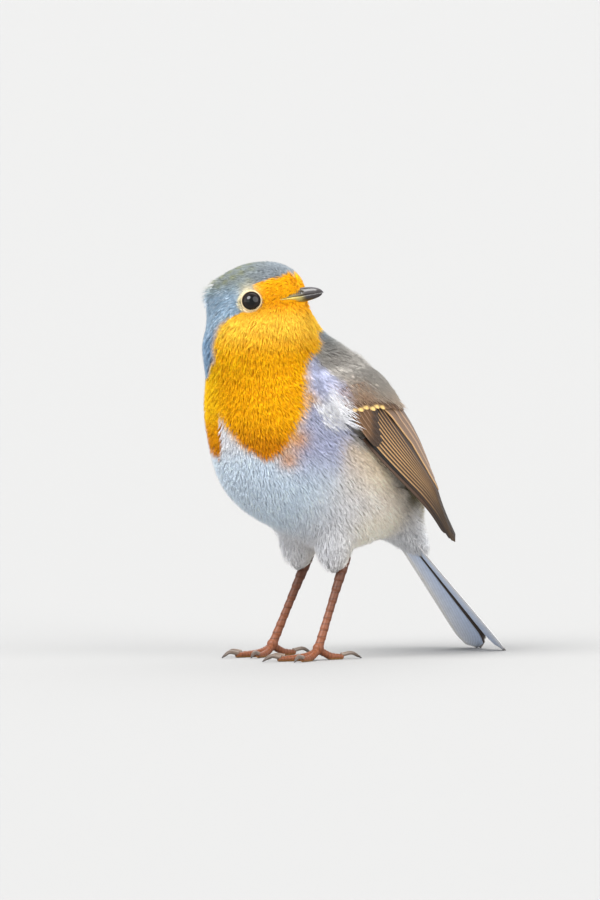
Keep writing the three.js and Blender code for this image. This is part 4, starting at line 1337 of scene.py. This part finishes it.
for side, sign in (("left", 1), ("right", -1)):
    points, faces = join_parts(foot_parts())
    points = points * [sign, 1, 1]
    faces = outward_faces(points, faces)
    nodes = (f"shank_{side}", f"foot_{side}")
    leg = make_piece(f"leg_{side}", points, faces, leg_skin, nodes)
    merge = leg.modifiers.new("merge", "REMESH")
    merge.mode, merge.voxel_size = "VOXEL", LEG_VOXEL * MM
    work_in(leg, merge)
    place = mesh_places(leg.data)
    place[:, 2] = np.maximum(place[:, 2], 0)
    leg.data.vertices.foreach_set("co", place.astype(np.float32).ravel())
    set_tones(leg.data, leg_tones(place / MM))
    leg.data.polygons.foreach_set("use_smooth", np.ones(len(leg.data.polygons), bool))
    leg.data.update()


# ---- claws -----------------------------------------------------------------
# Curved claws of grey horn, dark at the tip. One grows out of each toe's end, and its tip rests
# on the floor.
CLAW_RADII = (0.62, 0.55, 0.4, 0.12)
CLAW_ROWS, CLAW_ROUND = 40, 20
CLAW_ROOT, CLAW_TIP = tint(120, 104, 92), tint(44, 38, 36)
claw_tones = np.repeat(mix(CLAW_ROOT, CLAW_TIP, np.linspace(0, 1, CLAW_ROWS)), CLAW_ROUND, 0)
for side, sign in (("left", 1), ("right", -1)):
    for name, (_, toe, claw, radius) in TOES.items():
        low = radius * (1 - TOE_SINK)
        path = [
            on_toe(name, toe - 0.6, low + 0.4), on_toe(name, toe + claw * 0.45, low + 0.85),
            on_toe(name, toe + claw * 0.8, 0.85), on_toe(name, toe + claw, 0.2),
        ]
        rings = sweep(smooth_run(path, CLAW_ROWS), smooth_run(CLAW_RADII, CLAW_ROWS), CLAW_ROUND)
        points = rings.reshape(-1, 3) * [sign, 1, 1]
        points[:, 2] = np.maximum(points[:, 2], 0.0)
        faces = outward_faces(points, loft_faces(1, CLAW_ROWS, CLAW_ROUND))
        label = f"claw_{name}_{side}"
        make_piece(label, points, faces, horn, (label,), claw_tones)


# ---- floor and light -------------------------------------------------------
# A pale floor and soft light from large lamps, with a pale room round them. They are a stage for
# the bird and no part of it.
FLOOR_HALF = 40  # in metres
floor_mesh = bpy.data.meshes.new("floor")
floor_corners = [(x * FLOOR_HALF, y * FLOOR_HALF, 0) for x, y in ((-1, -1), (1, -1), (1, 1), (-1, 1))]
floor_mesh.from_pydata(floor_corners, [], [(0, 1, 2, 3)])
floor = bpy.data.objects.new("floor", floor_mesh)
bpy.context.scene.collection.objects.link(floor)
floor_material = bpy.data.materials.new("pale_floor")
floor_material.use_nodes = True
floor_shader = floor_material.node_tree.nodes["Principled BSDF"]
floor_shader.inputs["Base Color"].default_value = (0.315, 0.31, 0.303, 1)
floor_shader.inputs["Roughness"].default_value = 0.9
floor_mesh.materials.append(floor_material)

world = bpy.data.worlds.new("room")
bpy.context.scene.world = world
world.use_nodes = True
world.node_tree.nodes["Background"].inputs["Color"].default_value = (0.93, 0.96, 1.0, 1)
world.node_tree.nodes["Background"].inputs["Strength"].default_value = 0.9

lamps = {  # compass way round the bird, height and width in degrees of the sky, strength
    "key_lamp": (8, 48, 34, 4.2),
    "fill_lamp": (105, 30, 60, 2.5),
    "front_lamp": (-4, 10, 70, 1.2),
    "back_lamp": (215, 45, 60, 1.0),
}
for name, (azimuth, elevation, spread, strength) in lamps.items():
    light = bpy.data.lights.new(name, "SUN")
    light.energy, light.angle = strength, math.radians(spread)
    lamp = bpy.data.objects.new(name, light)
    lamp.rotation_euler = (math.pi / 2 - math.radians(elevation), 0, math.radians(azimuth))
    bpy.context.scene.collection.objects.link(lamp)
